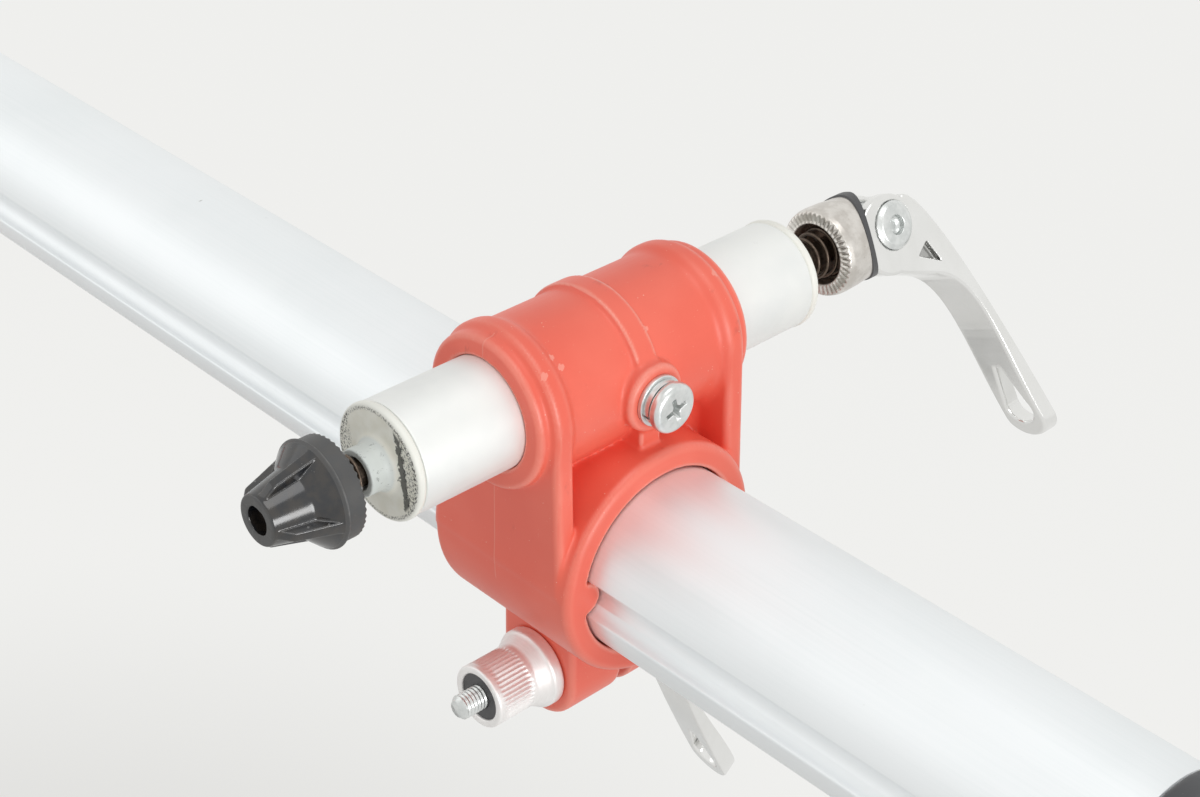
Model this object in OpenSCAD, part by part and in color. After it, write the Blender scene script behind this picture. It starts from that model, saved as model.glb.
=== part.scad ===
// Bicycle repair stand, open to full working height, with its fork slider near the front end of the beam.
// X runs along the beam and points to its front, Y runs along the dummy hub, Z is up and the floor is z = 0.

/* [Beam] */
// Length of the beam tube
beam_len = 826; // [760:1:900]
// Outer diameter of the beam tube
beam_d = 37.5; // [36:0.1:38.5]
// Wall of the beam tube
beam_wall = 2.4; // [1.8:0.1:3.2]
// Height of the beam's axis above the floor
beam_height = 940; // [925:1:1000]
// Length of beam behind the mast's axis
beam_rear = 95; // [80:1:120]
// Radius of the scooped groove along each side of the beam
groove_r = 3.8; // [3.5:0.1:4.2]
// How far the groove's centre lies outside the tube's surface
groove_out = 0.2; // [0:0.1:0.6]
// Rim height of the beam's end caps beyond the tube
cap_rim = 5; // [3:0.5:8]
// How far the end caps' rims stand proud of the tube
cap_proud = 0.9; // [0.5:0.1:1.5]

/* [Fork slider] */
// Distance of the dummy hub's axis from the mast's axis
slider_x = 600; // [540:1:610]
// Height of the dummy hub's axis above the beam's axis
hub_h = 34.2; // [33:0.1:36]
// Distance between the fork dropout faces
dropout_gap = 100; // [96:0.5:110]
// Radial gap between the beam and the slider's mouth
beam_gap = 0.35; // [0.3:0.05:0.5]
// Outer radius of the ring round the beam
ring_r = 23.75; // [23.4:0.05:24.5]
// Front face of the ring, from the hub axis
ring_front = 19.8; // [18.5:0.1:21]
// Rear face of the ring, from the hub axis
ring_rear = 17.8; // [17.4:0.1:19]
// Thickness of the slider's side plates
plate_t = 4.4; // [3.6:0.1:5]
// Radius of the side plates' round tops
plate_r = 16; // [15.6:0.1:17]
// How far the side plates' round tops lie in front of the hub axis
plate_fwd = 0.4; // [0:0.1:0.8]
// Half length of the side plates at the beam's axis
plate_foot = 17.8; // [17:0.1:17.8]
// Outer radius of the barrel round the hub tube
barrel_r = 14.7; // [14:0.1:15]
// Radius of the middle rib round the barrel
rib_r = 16; // [15.6:0.1:17.4]
// Width of the middle rib
rib_w = 5; // [4:0.5:6]
// Half thickness of the web between the barrel and the ring
web_half = 7.5; // [7:0.5:12]
// Radius of the cove where the barrel meets the plates
cove_r = 1.6; // [1:0.1:1.7]
// Outer radius of the collars round the hub tube
collar_r = 15; // [14:0.1:15.4]
// Height of the collars beyond the side plates
collar_h = 2.5; // [1.5:0.1:3]
// Radius of the screw boss on the barrel
boss_r = 6.7; // [6:0.1:7.2]
// Face of the screw boss, from the hub axis
boss_face = 17.15; // [16.5:0.05:18]
// Radius of the keys that run in the beam's grooves
key_r = 3.4; // [3:0.1:3.4]

/* [Dummy hub] */
// Outer diameter of the hub tube
hub_d = 21.8; // [21:0.1:22.4]
// Wall of the hub tube
hub_wall = 1.8; // [1.4:0.1:2.4]
// Thickness of the end plugs' flanges
plug_t = 1.9; // [1.5:0.1:2.5]
// How far the plugs' flanges stand proud of the tube
plug_proud = 0.2; // [0.1:0.1:0.4]
// Length of the plugs' spigots inside the tube
plug_spigot = 14; // [10:1:18]
// Diameter of the stub axles that carry the fork dropouts
stub_d = 8.9; // [8.8:0.05:9.3]
// Length of the stub axles
stub_len = 4.8; // [4:0.1:6]
// Radius of the fillet at the stub axles' roots
stub_fillet = 2; // [0.8:0.1:2.4]
// Bore of the stub axles
stub_bore_d = 6.2; // [5.6:0.1:6.4]

/* [Fork skewer] */
// Diameter of the skewer rod
skewer_d = 5; // [4.8:0.1:5]
// Gap between the dropout face and the nut
nut_gap = 9.8; // [8:0.1:12]
// Gap between the dropout face and the cam cup
cup_gap = 11; // [9:0.1:13]
// Length from the cup's near face to the lever's pin
cup_to_pin = 17.9; // [17.5:0.1:19]
// Greatest radius of the cam cup
cup_r = 9.2; // [9:0.1:10]
// Radius of the cup's bore
cup_bore_r = 6.3; // [5.9:0.1:6.4]
// Depth of the cup's bore
cup_depth = 3.6; // [3:0.1:4.2]
// Length of the cup
cup_len = 11.4; // [11:0.1:12]
// Angle of the cam pin round the hub axis
fork_lever_tilt = 25; // [0:5:60]
// Radius of the nut's flange
fork_nut_r = 9.5; // [9:0.1:10.5]
// Thickness of the nut's flange
fork_nut_flange = 3.1; // [2.5:0.1:4]
// Length of the nut's cone
fork_nut_cone = 12.4; // [11:0.1:14]
// Number of ribs on the nut
fork_nut_ribs = 5; // [4:1:6]
// Wire diameter of the two springs
spring_wire = 0.8; // [0.6:0.1:1]

/* [Cam levers] */
// Width of the levers
lever_w = 11; // [10:0.5:12]
// Reach of the levers' tips from their pins
lever_reach = 58; // [55:1:62]
// Diameter of the cam pins
pin_d = 10; // [9:0.5:11]
// How far the cam pins stand out of the lever on each side
pin_proud = 0.8; // [0.5:0.1:1.5]
// Radius of the round cam head
cam_r = 8.3; // [8:0.1:8.6]
// Clearance of the cam head over its seat
cam_gap = 0.2; // [0.15:0.05:0.4]
// Width of the slot for the bolt in the cam head
cam_slot = 5.6; // [5.6:0.1:6.2]
// Thickness of the cup's curved plastic washer
cam_washer = 1.2; // [1:0.1:1.5]

/* [Clamps] */
// Drop of the slider's clamp bolt below the beam's axis
clamp_drop = 29.7; // [29:0.1:31]
// Radius of the clamp ears
ear_r = 10; // [9.5:0.1:11]
// Drop of the slider's ears' round ends below the beam's axis
ear_drop = 30.6; // [29:0.1:32]
// Outer face of the clamp ears from the middle
ear_y = 13; // [12:0.1:14]
// Width of the slot between the clamp ears
ear_slot = 3.2; // [2.5:0.1:4]
// Place of the slot between the slider's ears, from the middle
ear_slot_y = 1.7; // [-2:0.1:2]
// Turn of the slider's clamp skewer round its bolt
clamp_spin = 4; // [-10:1:10]
// Diameter of the clamp bolts
clamp_bolt_d = 5; // [4.8:0.1:5.2]
// Radius of the clamp nuts' flanges
clamp_nut_r = 8.2; // [7.8:0.1:9]
// Radius of the clamp nuts' knurled barrels
clamp_nut_barrel = 6.5; // [6.3:0.1:7]
// Length of the clamp nuts
clamp_nut_len = 15; // [13:0.5:18]
// Length of clamp bolt that stands out of the nut
clamp_bolt_out = 5.3; // [3:0.1:8]
// Least thickness of the clamps' cam seats
seat_t = 1.6; // [1.4:0.1:2.5]

/* [Head and cradle] */
// Half length of the head round the beam
head_half = 56; // [54:1:62]
// Outer radius of the head round the beam
head_r = 24; // [23.5:0.1:25]
// Gap between the two clamped halves
head_split = 1.2; // [0.8:0.1:2]
// Thickness of the bolted flanges
flange_t = 8; // [7:0.5:9]
// Half width of the bolted flanges
flange_half = 38; // [37:0.5:42]
// Place of the flange bolts along the beam
flange_bolt_x = 44; // [42:1:46]
// Place of the flange bolts across the beam
flange_bolt_y = 30; // [29:0.5:31]
// Diameter of the flange bolts
flange_bolt_d = 6; // [5:0.5:6]
// Depth of the mast socket below the beam's axis
socket_depth = 100; // [95:1:110]
// Outer radius of the mast socket
socket_r = 23; // [22:0.1:23.5]
// Thickness of the web between the beam and the mast
head_web = 15; // [14:0.5:17]
// Place of the bottom bracket seat in front of the mast's axis
seat_x = 14; // [10:1:16]
// Height of the bottom bracket's axis above the beam's axis
seat_h = 58; // [56:1:62]
// Radius of a bottom bracket shell on the pads
shell_r = 21; // [20:0.5:21.5]
// Thickness of the rubber pads
pad_t = 3; // [2:0.5:4]
// Half width of the bottom bracket seat
seat_half = 25; // [24:0.5:30]
// Place of the hook rod behind the mast's axis
hook_x = 40; // [39:0.5:42]
// Diameter of the hook rod
hook_d = 8; // [7:0.5:8]
// Lift of the hook
hook_lift = 25; // [20:1:28]

/* [Mast] */
// Outer diameter of the inner mast
inner_d = 31.8; // [31:0.1:32.4]
// Wall of the inner mast
inner_wall = 1.6; // [1.2:0.1:2]
// Length of the inner mast
inner_len = 490; // [470:1:510]
// Outer diameter of the outer mast
outer_d = 38.1; // [37.8:0.1:38.6]
// Wall of the outer mast
outer_wall = 1.5; // [1.2:0.1:1.8]
// Height of the outer mast's top above the floor
outer_top = 660; // [640:1:690]
// Height of the outer mast's foot above the floor
outer_foot = 245; // [235:1:255]
// Height of the mast collar
collar_len = 40; // [36:1:46]
// Outer radius of the mast collar
mast_collar_r = 25; // [24:0.1:26]
// Place of the collar's bolt in front of the mast's axis
collar_bolt_x = 36; // [35:0.5:40]

/* [Tripod] */
// Radius at which the legs' axes meet the floor
foot_reach = 455; // [430:1:480]
// Height of the legs' pivots above the floor
pivot_z = 330; // [320:1:345]
// Distance of the legs' pivots from the mast's axis
pivot_r = 42; // [41:0.5:44]
// Outer diameter of the leg tubes
leg_d = 25; // [22:0.5:26]
// Wall of the leg tubes
leg_wall = 1.5; // [1.2:0.1:2]
// Radius of the rubber feet
foot_r = 16; // [15:0.5:18]
// Length of the rubber feet
foot_len = 62; // [50:1:75]
// Half length of the crown
crown_half = 36; // [34:1:42]
// Radius of the crown's sleeve
crown_r = 26; // [25:0.5:26.5]
// Thickness of the crown's cheeks
cheek_t = 5; // [4:0.5:6]
// Width of the leg knuckles
knuckle_w = 18; // [16:0.5:18.5]
// Diameter of the leg pins
leg_pin_d = 8; // [6:0.5:9]

/* [Hidden] */
$fn = 64;

// Gap of a shaft in its bore, and of two pieces that face each other
run_gap = 0.05;
face_gap = 0.2;

beam_r = beam_d / 2;
beam_front = beam_len - beam_rear;
groove_y = beam_r + groove_out;
mouth_r = beam_r + beam_gap;
hub_r = hub_d / 2;
half_gap = dropout_gap / 2;
skewer_r = skewer_d / 2;
pin_r = pin_d / 2;
clamp_bolt_r = clamp_bolt_d / 2;

// The cam head is a circle whose centre lies beside the pin, so that turning the lever pulls the bolt
cam_off = [-1.3, -1.6];
cam_sweep = cam_r + norm(cam_off);
cam_seat_r = cam_sweep + cam_gap;
fork_cup_y = half_gap + cup_gap;
fork_pin_y = fork_cup_y + cup_to_pin;
fork_nut_y = -half_gap - nut_gap;
clamp_pin_y = ear_y + face_gap + seat_t + cam_seat_r;
clamp_nut_y = -ear_y - face_gap;
cup_saddle_r = cam_seat_r + cam_washer + run_gap;

inner_r = inner_d / 2;
outer_r = outer_d / 2;
outer_bore_r = outer_r - outer_wall;
socket_bore_r = inner_r + 2;
web_under = -head_r + 4.9 - head_web;
inner_top = web_under - 2.3;
collar_z = outer_top - collar_len / 2 - 2;

leg_r = leg_d / 2;
leg_angle = atan((foot_reach - pivot_r) / pivot_z);
leg_len = norm([foot_reach - pivot_r, pivot_z]);
shoulder = 32;
stop_r = crown_r + 1;

// The origin is in the middle of the stand's length
rear_reach = foot_reach + foot_r / cos(leg_angle);
shift_x = (rear_reach - beam_front - cap_rim) / 2;

red = [0.84, 0.27, 0.24];
silver = [0.82, 0.84, 0.85];
steel = [0.62, 0.62, 0.60];
zinc = [0.74, 0.77, 0.78];
black = [0.09, 0.09, 0.10];
cream = [0.88, 0.86, 0.78];
brass = [0.78, 0.64, 0.36];

// Places of the sub-assemblies

module at_mast() {
    translate([shift_x, 0, 0]) children();
}

module at_beam() {
    translate([shift_x, 0, beam_height]) children();
}

module at_slider() {
    at_beam() translate([slider_x, 0, 0]) children();
}

module at_hub() {
    at_slider() translate([0, 0, hub_h]) children();
}

module at_clamp() {
    at_slider() translate([0, 0, -clamp_drop]) children();
}

module at_clamp_skewer() {
    at_clamp() rotate([0, clamp_spin, 0]) children();
}

module at_collar() {
    at_mast() translate([collar_bolt_x, 0, collar_z]) children();
}

module at_leg(i) {
    at_mast() rotate([0, 0, 60 + 120 * i]) translate([pivot_r, 0, pivot_z]) children();
}

// The frame of a leg: Z runs from the pivot down the leg's axis
module along_leg(i) {
    at_leg(i) rotate([0, 180 - leg_angle, 0]) children();
}

// Rods, tubes and plates along one axis

module rod_x(r, x0, x1) {
    translate([x0, 0, 0]) rotate([0, 90, 0]) cylinder(r = r, h = x1 - x0);
}

module rod_y(r, y0, y1) {
    translate([0, y0, 0]) rotate([-90, 0, 0]) cylinder(r = r, h = y1 - y0);
}

module rod_z(r, z0, z1) {
    translate([0, 0, z0]) cylinder(r = r, h = z1 - z0);
}

module tube_z(r, bore, z0, z1) {
    difference() {
        rod_z(r, z0, z1);
        rod_z(bore, z0 - 1, z1 + 1);
    }
}

// Turns an outline of [radius, y] points round the Y axis
module lathe_y(points) {
    rotate([-90, 0, 0]) rotate_extrude() polygon(points);
}

// Extrudes a child drawn in X and Z between two places on Y
module plate_xz(y0, y1) {
    translate([0, y1, 0]) rotate([90, 0, 0]) linear_extrude(y1 - y0) children();
}

// Extrudes a child drawn in Y and Z between two places on X
module plate_yz(x0, x1) {
    translate([x0, 0, 0]) rotate([90, 0, 90]) linear_extrude(x1 - x0) children();
}

module box(x0, x1, y0, y1, z0, z1) {
    translate([x0, y0, z0]) cube([x1 - x0, y1 - y0, z1 - z0]);
}

module both_sides() {
    children();
    mirror([0, 1, 0]) children();
}

// Outlines

// An upright with a round top and a wider foot
module tombstone(r, top, foot, forward) {
    translate([forward, top]) circle(r);
    polygon([[forward - r, top], [-foot, 0], [foot, 0], [forward + r, top]]);
}

// A lug with a round end at the origin, which reaches back along X
module lug(r, reach) {
    circle(r);
    translate([-reach, -r]) square([reach, 2 * r]);
}

module round_rect(x, y, r) {
    square([2 * x, 2 * (y - r)], center = true);
    square([2 * (x - r), 2 * y], center = true);
    for (sx = [-1, 1], sy = [-1, 1]) translate([sx * (x - r), sy * (y - r)]) circle(r);
}

module star(r, lobes) {
    circle(r * 0.8);
    for (i = [0 : lobes - 1]) rotate(i * 360 / lobes) translate([r * 0.72, 0]) circle(r * 0.28);
}

function bezier(a, b, c, d, steps) = [for (i = [0 : steps]) let (t = i / steps, s = 1 - t)
    s * s * s * a + 3 * s * s * t * b + 3 * s * t * t * c + t * t * t * d];

// Fork slider

// The mouth's outline in Y and Z: a circle with a half-round key at each side
module mouth_outline() {
    difference() {
        circle(mouth_r);
        for (s = [-1, 1]) translate([s * groove_y, 0]) circle(key_r);
    }
}

// A ring whose outer side is a cove, to blend a barrel into a plate
module cove(r, y, toward) {
    rotate([-90, 0, 0]) translate([0, 0, y]) mirror([0, 0, toward > 0 ? 0 : 1]) rotate_extrude()
        difference() {
            translate([r - 1, -0.01]) square([1 + cove_r, cove_r + 0.01]);
            translate([r + cove_r, cove_r]) circle(cove_r);
        }
}

module slider_body() color(red) at_slider() difference() {
    union() {
        rod_x(ring_r, -ring_rear, ring_front);
        both_sides() {
            plate_xz(ring_r - plate_t, ring_r) tombstone(plate_r, hub_h, plate_foot, plate_fwd);
            translate([0, 0, hub_h]) {
                rod_y(collar_r, ring_r - 1, ring_r + collar_h);
                cove(barrel_r, ring_r - plate_t, -1);
                cove(barrel_r, rib_w / 2, 1);
            }
        }
        plate_xz(-ear_y, ear_y) rotate(-90) translate([ear_drop, 0]) lug(ear_r, ear_drop - 10);
        plate_xz(-ring_r + 1, ring_r - 1) translate([0, hub_h]) circle(barrel_r);
        plate_xz(-rib_w / 2, rib_w / 2) tombstone(rib_r, hub_h, rib_r, 0);
        box(-web_half, web_half, -ring_r + 1, ring_r - 1, 0, hub_h);
        translate([0, 0, hub_h]) rod_x(boss_r, 0, boss_face);
    }
    plate_yz(-ring_rear - 1, ring_front + 1) mouth_outline();
    translate([0, 0, hub_h]) {
        rod_y(hub_r + run_gap, -half_gap, half_gap);
        rod_x(screw_r + run_gap, 0, boss_face + 1);
    }
    translate([0, 0, -clamp_drop]) rod_y(clamp_bolt_r + run_gap, -ear_y - 1, ear_y + 1);
    box(-ring_rear - 1, ring_front + 1, ear_slot_y - ear_slot / 2, ear_slot_y + ear_slot / 2, -ear_drop - ear_r - 1,
        -mouth_r + 2);
}

// Dummy hub

hub_half = half_gap - plug_t;
screw_r = 2.5;
washer_t = 1;
spring_washer_t = 1.3;

module hub_tube() color(silver) at_hub() difference() {
    rod_y(hub_r, -hub_half, hub_half);
    rod_y(hub_r - hub_wall, -hub_half - 1, hub_half + 1);
    rod_x(screw_r, 0, hub_r + 1);
}

// One end plug: spigot, rounded flange and the stub axle that a fork dropout sits on
module end_plug() {
    rim = hub_r + plug_proud;
    spigot = hub_r - hub_wall - run_gap;
    stub = stub_d / 2;
    bore = stub_bore_d / 2;
    round = 1;
    lathe_y(concat(
        [[bore, hub_half - plug_spigot], [spigot, hub_half - plug_spigot], [spigot, hub_half], [rim, hub_half]],
        [for (a = [0 : 15 : 90]) [rim - round + round * cos(a), half_gap - round + round * sin(a)]],
        [for (a = [0 : 15 : 90]) [stub + stub_fillet - stub_fillet * sin(a),
            half_gap + stub_fillet - stub_fillet * cos(a)]],
        [[stub, half_gap + stub_len - 0.3], [stub - 0.3, half_gap + stub_len], [bore, half_gap + stub_len]]));
}

module hub_end_plugs() color(cream) at_hub() both_sides() end_plug();

module hub_screw() color(zinc) at_hub() {
    seat = boss_face + washer_t + spring_washer_t;
    head_r = 4.9;
    head_h = 2.7;
    difference() {
        union() {
            rod_x(screw_r, hub_r - hub_wall - 2, seat + 0.5);
            rod_x(head_r, seat, seat + head_h - 0.6);
            translate([seat + head_h - 0.61, 0, 0]) rotate([0, 90, 0]) cylinder(r1 = head_r, r2 = head_r - 0.8,
                h = 0.61, $fn = 48);
        }
        for (a = [0, 90]) rotate([a, 0, 0]) box(seat + head_h - 1.5, seat + head_h + 1, -2.4, 2.4, -0.6, 0.6);
    }
}

module hub_screw_washers() color(zinc) at_hub() difference() {
    union() {
        rod_x(5, boss_face, boss_face + washer_t);
        rod_x(4.4, boss_face + washer_t + 0.02, boss_face + washer_t + spring_washer_t - 0.02);
    }
    rod_x(screw_r + run_gap, boss_face - 1, boss_face + 5);
    box(boss_face + washer_t + 0.01, boss_face + 4, 0, 6, -0.4, 0.4);
}

// Cam levers. Each is drawn round its pin: the pin lies along X, the bolt comes from -Y, the lever hangs.

lever_steps = 12;
inner_curve = bezier([9.5, -13.7], [22, -18.5], [22.5, -38], [31, -lever_reach], lever_steps);
outer_curve = bezier([35.4, -lever_reach], [24.6, -28.3], [10.8, 5.1], [4.5, 5.1], lever_steps);

module lever_outline() {
    translate(cam_off) circle(cam_r);
    polygon(concat([[-7, -7], [0.5, -10.6]], inner_curve, outer_curve));
}

// What the bolt needs free as the lever turns from closed to open
module lever_slot_outline() {
    polygon([[-14, -6.4], [-2, -4.2], [4.2, -1], [7.5, 1.5], [16, 6], [8, 16], [-14, 16]]);
    circle(pin_r + 0.1);
}

module cam_lever() difference() {
    intersection() {
        plate_yz(-lever_w / 2, lever_w / 2) lever_outline();
        plate_xz(-14, 40) {
            translate([-lever_w / 2, lever_w / 2 - lever_reach]) square([lever_w, lever_reach + 12]);
            translate([0, lever_w / 2 - lever_reach]) circle(lever_w / 2);
        }
    }
    plate_yz(-cam_slot / 2, cam_slot / 2) lever_slot_outline();
    rod_x(pin_r + run_gap, -lever_w, lever_w);
    both_ends() plate_yz(lever_w / 2 - 1.6, lever_w / 2 + 1) polygon([[8.1, -6], [5, -8.3], [11, -11.3]]);
    plate_xz(14, 40) {
        translate([0, 7.4 - lever_reach]) circle(2.9);
        polygon([[-2.8, 8.2 - lever_reach], [2.8, 8.2 - lever_reach], [0.6, 17 - lever_reach],
            [-0.6, 17 - lever_reach]]);
    }
}

module both_ends() {
    children();
    mirror([1, 0, 0]) children();
}

module cam_pin(bolt_r) difference() {
    rod_x(pin_r, -lever_w / 2 - pin_proud, lever_w / 2 + pin_proud);
    both_ends() rod_x(2, lever_w / 2 - 1.2, lever_w / 2 + pin_proud + 1);
    rod_y(bolt_r, -pin_r - 1, pin_r - 1.5);
}

module fork_lever_place() {
    at_hub() translate([0, fork_pin_y, 0]) rotate([0, -fork_lever_tilt, 0]) children();
}

module fork_lever() color(silver) fork_lever_place() cam_lever();

module fork_cam_pin() color(zinc) fork_lever_place() cam_pin(skewer_r);

module fork_skewer_rod() color(steel) at_hub() rod_y(skewer_r, fork_nut_tip + 2.7, fork_pin_y + pin_r - 1.6);

module fork_cam_cup() color(steel) at_hub() difference() {
    face = fork_cup_y;
    lathe_y([[cup_bore_r, face], [cup_r - 0.8, face], [cup_r - 0.35, face + 0.5], [cup_r - 0.05, face + 1.6],
        [cup_r, face + 3], [cup_r - 0.1, face + 5.6], [cup_r - 0.35, face + 8.4], [cup_r - 0.5, face + cup_len],
        [skewer_r + run_gap, face + cup_len], [skewer_r + run_gap, face + cup_depth], [cup_bore_r, face + cup_depth]]);
    translate([0, fork_pin_y, 0]) rotate([0, -fork_lever_tilt, 0]) rod_x(cup_saddle_r, -cup_r - 2, cup_r + 2);
}

module fork_cam_washer() color(black) at_hub() difference() {
    rod_y(cup_r - 0.1, fork_cup_y + cup_depth, fork_cup_y + cup_len + 1);
    translate([0, fork_pin_y, 0]) rotate([0, -fork_lever_tilt, 0]) {
        difference() {
            rod_x(3 * cup_r, -cup_r - 2, cup_r + 2);
            rod_x(cam_seat_r + cam_washer, -cup_r - 3, cup_r + 3);
        }
        rod_x(cam_seat_r, -cup_r - 2, cup_r + 2);
    }
    rod_y(skewer_r + run_gap, 0, fork_pin_y);
}

fork_nut_tip = fork_nut_y - fork_nut_flange - fork_nut_cone;

// The nut: a flange, a cone that narrows to the tip, and ribs with scooped flats between them
module fork_nut() color(black) at_hub() difference() {
    base = fork_nut_y - fork_nut_flange;
    floor_r = 5.5;
    scoop_r = 6;
    scoop_slope = 6;
    lathe_y([[0, fork_nut_y], [fork_nut_r, fork_nut_y], [fork_nut_r, base], [8.3, base],
        [6.8, base - fork_nut_cone + 2.4], [4.7, fork_nut_tip], [0, fork_nut_tip]]);
    for (i = [0 : fork_nut_ribs - 1]) rotate([0, 53 + i * 360 / fork_nut_ribs, 0])
        translate([0, base, floor_r + scoop_r]) rotate([90 + scoop_slope, 0, 0]) translate([0, 0, 0.7])
        cylinder(r = scoop_r, h = fork_nut_cone + 6);
    rod_y(skewer_r + run_gap, fork_nut_tip - 1, fork_nut_y + 1);
    rod_y(nut_pocket_r, fork_nut_y - nut_pocket, fork_nut_y + 1);
}

nut_pocket = 2.2;
nut_pocket_r = 6.2;

// Conical springs, one on each side of the hub

spring_small = 3.5;
spring_big = 5.2;
spring_sides = 6;
spring_rings = 8;

// Points along a conical coil from the hub end, at y = 0, outward along Y
function coil(turns, length, lead) = [for (i = [0 : turns * spring_rings]) let (t = i / (turns * spring_rings),
    r = spring_small + (spring_big - spring_small) * t, a = 360 * turns * t + lead)
    [r * cos(a), length * t, r * sin(a)]];

// The rings of points of a tube along a coil whose axis is Y
function coil_rings(path) = [for (i = [0 : len(path) - 1])
    let (p = path[i], a = atan2(p[2], p[0]), out = [cos(a), 0, sin(a)])
    [for (k = [0 : spring_sides - 1]) let (b = 360 * k / spring_sides)
        p + spring_wire / 2 * (cos(b) * out + [0, sin(b), 0])]];

function least_gap(path) = min([for (i = [0 : len(path) - 1 - spring_rings], j = [i + spring_rings - 1 : len(path) - 1])
    norm(path[i] - path[j])]) - spring_wire;

module coil_tube(path) {
    rings = coil_rings(path);
    last = len(path) - 1;
    n = spring_sides;
    polyhedron([for (ring = rings, p = ring) p], concat(
        [for (k = [1 : n - 2]) [0, k, k + 1]],
        [for (k = [1 : n - 2]) [last * n, last * n + k + 1, last * n + k]],
        [for (i = [0 : last - 1], k = [0 : n - 1]) [i * n + k, (i + 1) * n + k, i * n + (k + 1) % n]],
        [for (i = [0 : last - 1], k = [0 : n - 1])
            [(i + 1) * n + k, (i + 1) * n + (k + 1) % n, i * n + (k + 1) % n]]));
}

stub_end = half_gap + stub_len;
spring_seat = spring_wire / 2 + 0.1;
cup_coil = coil(4, cup_gap - stub_len + cup_depth - 2 * spring_seat, 0);
nut_coil = coil(2, nut_gap - stub_len + nut_pocket - 2 * spring_seat, 0);
echo(least_spring_gap = min(least_gap(cup_coil), least_gap(nut_coil)));

module fork_springs() color(steel) at_hub() {
    translate([0, stub_end + spring_seat, 0]) coil_tube(cup_coil);
    rotate([0, 0, 180]) translate([0, stub_end + spring_seat, 0]) coil_tube(nut_coil);
}

// Slider clamp and mast collar clamp: a bolt across two ears, with a nut at -Y and a cam lever at +Y

module clamp_bolt_shape() rod_y(clamp_bolt_r, clamp_nut_y - clamp_nut_len - clamp_bolt_out, clamp_pin_y + pin_r - 1.6);

module cam_seat() difference() {
    rod_y(ear_r - 1, ear_y + face_gap, ear_y + face_gap + seat_t + 3.4);
    translate([0, clamp_pin_y, 0]) rod_x(cam_seat_r, -ear_r, ear_r);
    rod_y(clamp_bolt_r + run_gap, 0, clamp_pin_y);
}

insert_r = 4.9;
insert_len = 4;
insert_sunk = 0.5;

module clamp_nut_shape(pocket) difference() {
    y = clamp_nut_y;
    tip = y - clamp_nut_len;
    knurls = 30;
    lathe_y([[clamp_bolt_r + run_gap, y], [clamp_nut_r, y], [clamp_nut_r, y - 2.2], [clamp_nut_r - 0.5, y - 2.7],
        [clamp_nut_barrel, y - 5.2], [clamp_nut_barrel, tip + 0.6], [clamp_nut_barrel - 0.6, tip],
        [pocket ? insert_r : clamp_bolt_r + run_gap, tip],
        [pocket ? insert_r : clamp_bolt_r + run_gap, tip + insert_len + insert_sunk],
        [clamp_bolt_r + run_gap, tip + insert_len + insert_sunk]]);
    for (i = [0 : knurls - 1]) rotate([0, i * 360 / knurls, 0])
        translate([0, tip + 1.4, clamp_nut_barrel + 0.15]) rotate([0, 45, 0]) box(-0.3, 0.3, 0, clamp_nut_len - 8, -0.3, 0.3);
}

module clamp_bolt() color(zinc) at_clamp() clamp_bolt_shape();

// The slider's clamp lever is drawn open: turned half round its pin, so that it hangs outward
module clamp_lever_place() {
    at_clamp_skewer() translate([0, clamp_pin_y, 0]) rotate([-open_turn, 0, 0]) mirror([0, 0, 1]) children();
}

open_turn = 132;

module clamp_lever() color(silver) clamp_lever_place() cam_lever();

module clamp_cam_pin() color(zinc) at_clamp_skewer() translate([0, clamp_pin_y, 0]) cam_pin(clamp_bolt_r);

module clamp_cam_seat() color(black) at_clamp_skewer() cam_seat();

module clamp_nut() color(silver) at_clamp() clamp_nut_shape(true);

module clamp_nut_insert() color(black) at_clamp() difference() {
    tip = clamp_nut_y - clamp_nut_len + insert_sunk;
    rod_y(insert_r, tip, tip + insert_len);
    rod_y(clamp_bolt_r + run_gap, tip - 1, tip + insert_len + 1);
}

// Beam

module groove_pair(r) {
    for (s = [-1, 1]) translate([s * groove_y, 0]) circle(r);
}

module beam() color(silver) at_beam() difference() {
    plate_yz(-beam_rear, beam_front) difference() {
        circle(beam_r);
        groove_pair(groove_r);
        difference() {
            circle(beam_r - beam_wall);
            groove_pair(groove_r + beam_wall);
        }
    }
    translate([-hook_x, 0, 0]) rod_z(hook_d / 2 + 0.5, -beam_d, beam_d);
}

module end_cap() {
    plug = 18;
    plug_wall = 2.5;
    plate_yz(-plug, 0.5) difference() {
        circle(beam_r - beam_wall - 0.1);
        groove_pair(groove_r + beam_wall + 0.1);
        difference() {
            circle(beam_r - beam_wall - plug_wall);
            groove_pair(groove_r + beam_wall + plug_wall);
        }
    }
    rod_x(beam_r + cap_proud, 0, cap_rim - 1.5);
    rod_x(beam_r + cap_proud - 1.5, 0, cap_rim);
    rotate([0, 90, 0]) translate([0, 0, cap_rim - 1.5]) rotate_extrude()
        translate([beam_r + cap_proud - 1.5, 0]) circle(1.5);
}

module beam_front_cap() color(black) at_beam() translate([beam_front, 0, 0]) end_cap();

module beam_rear_cap() color(black) at_beam() translate([-beam_rear, 0, 0]) mirror([1, 0, 0]) end_cap();

// Head and cradle: two halves bolted together round the beam

module head_half_shell(side) {
    mirror([0, 0, side > 0 ? 0 : 1]) {
        intersection() {
            rod_x(head_r, -head_half, head_half);
            box(-head_half, head_half, -head_r, head_r, head_split / 2, head_r);
        }
        translate([0, 0, head_split / 2]) linear_extrude(flange_t) round_rect(head_half, flange_half, 9);
    }
}

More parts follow.
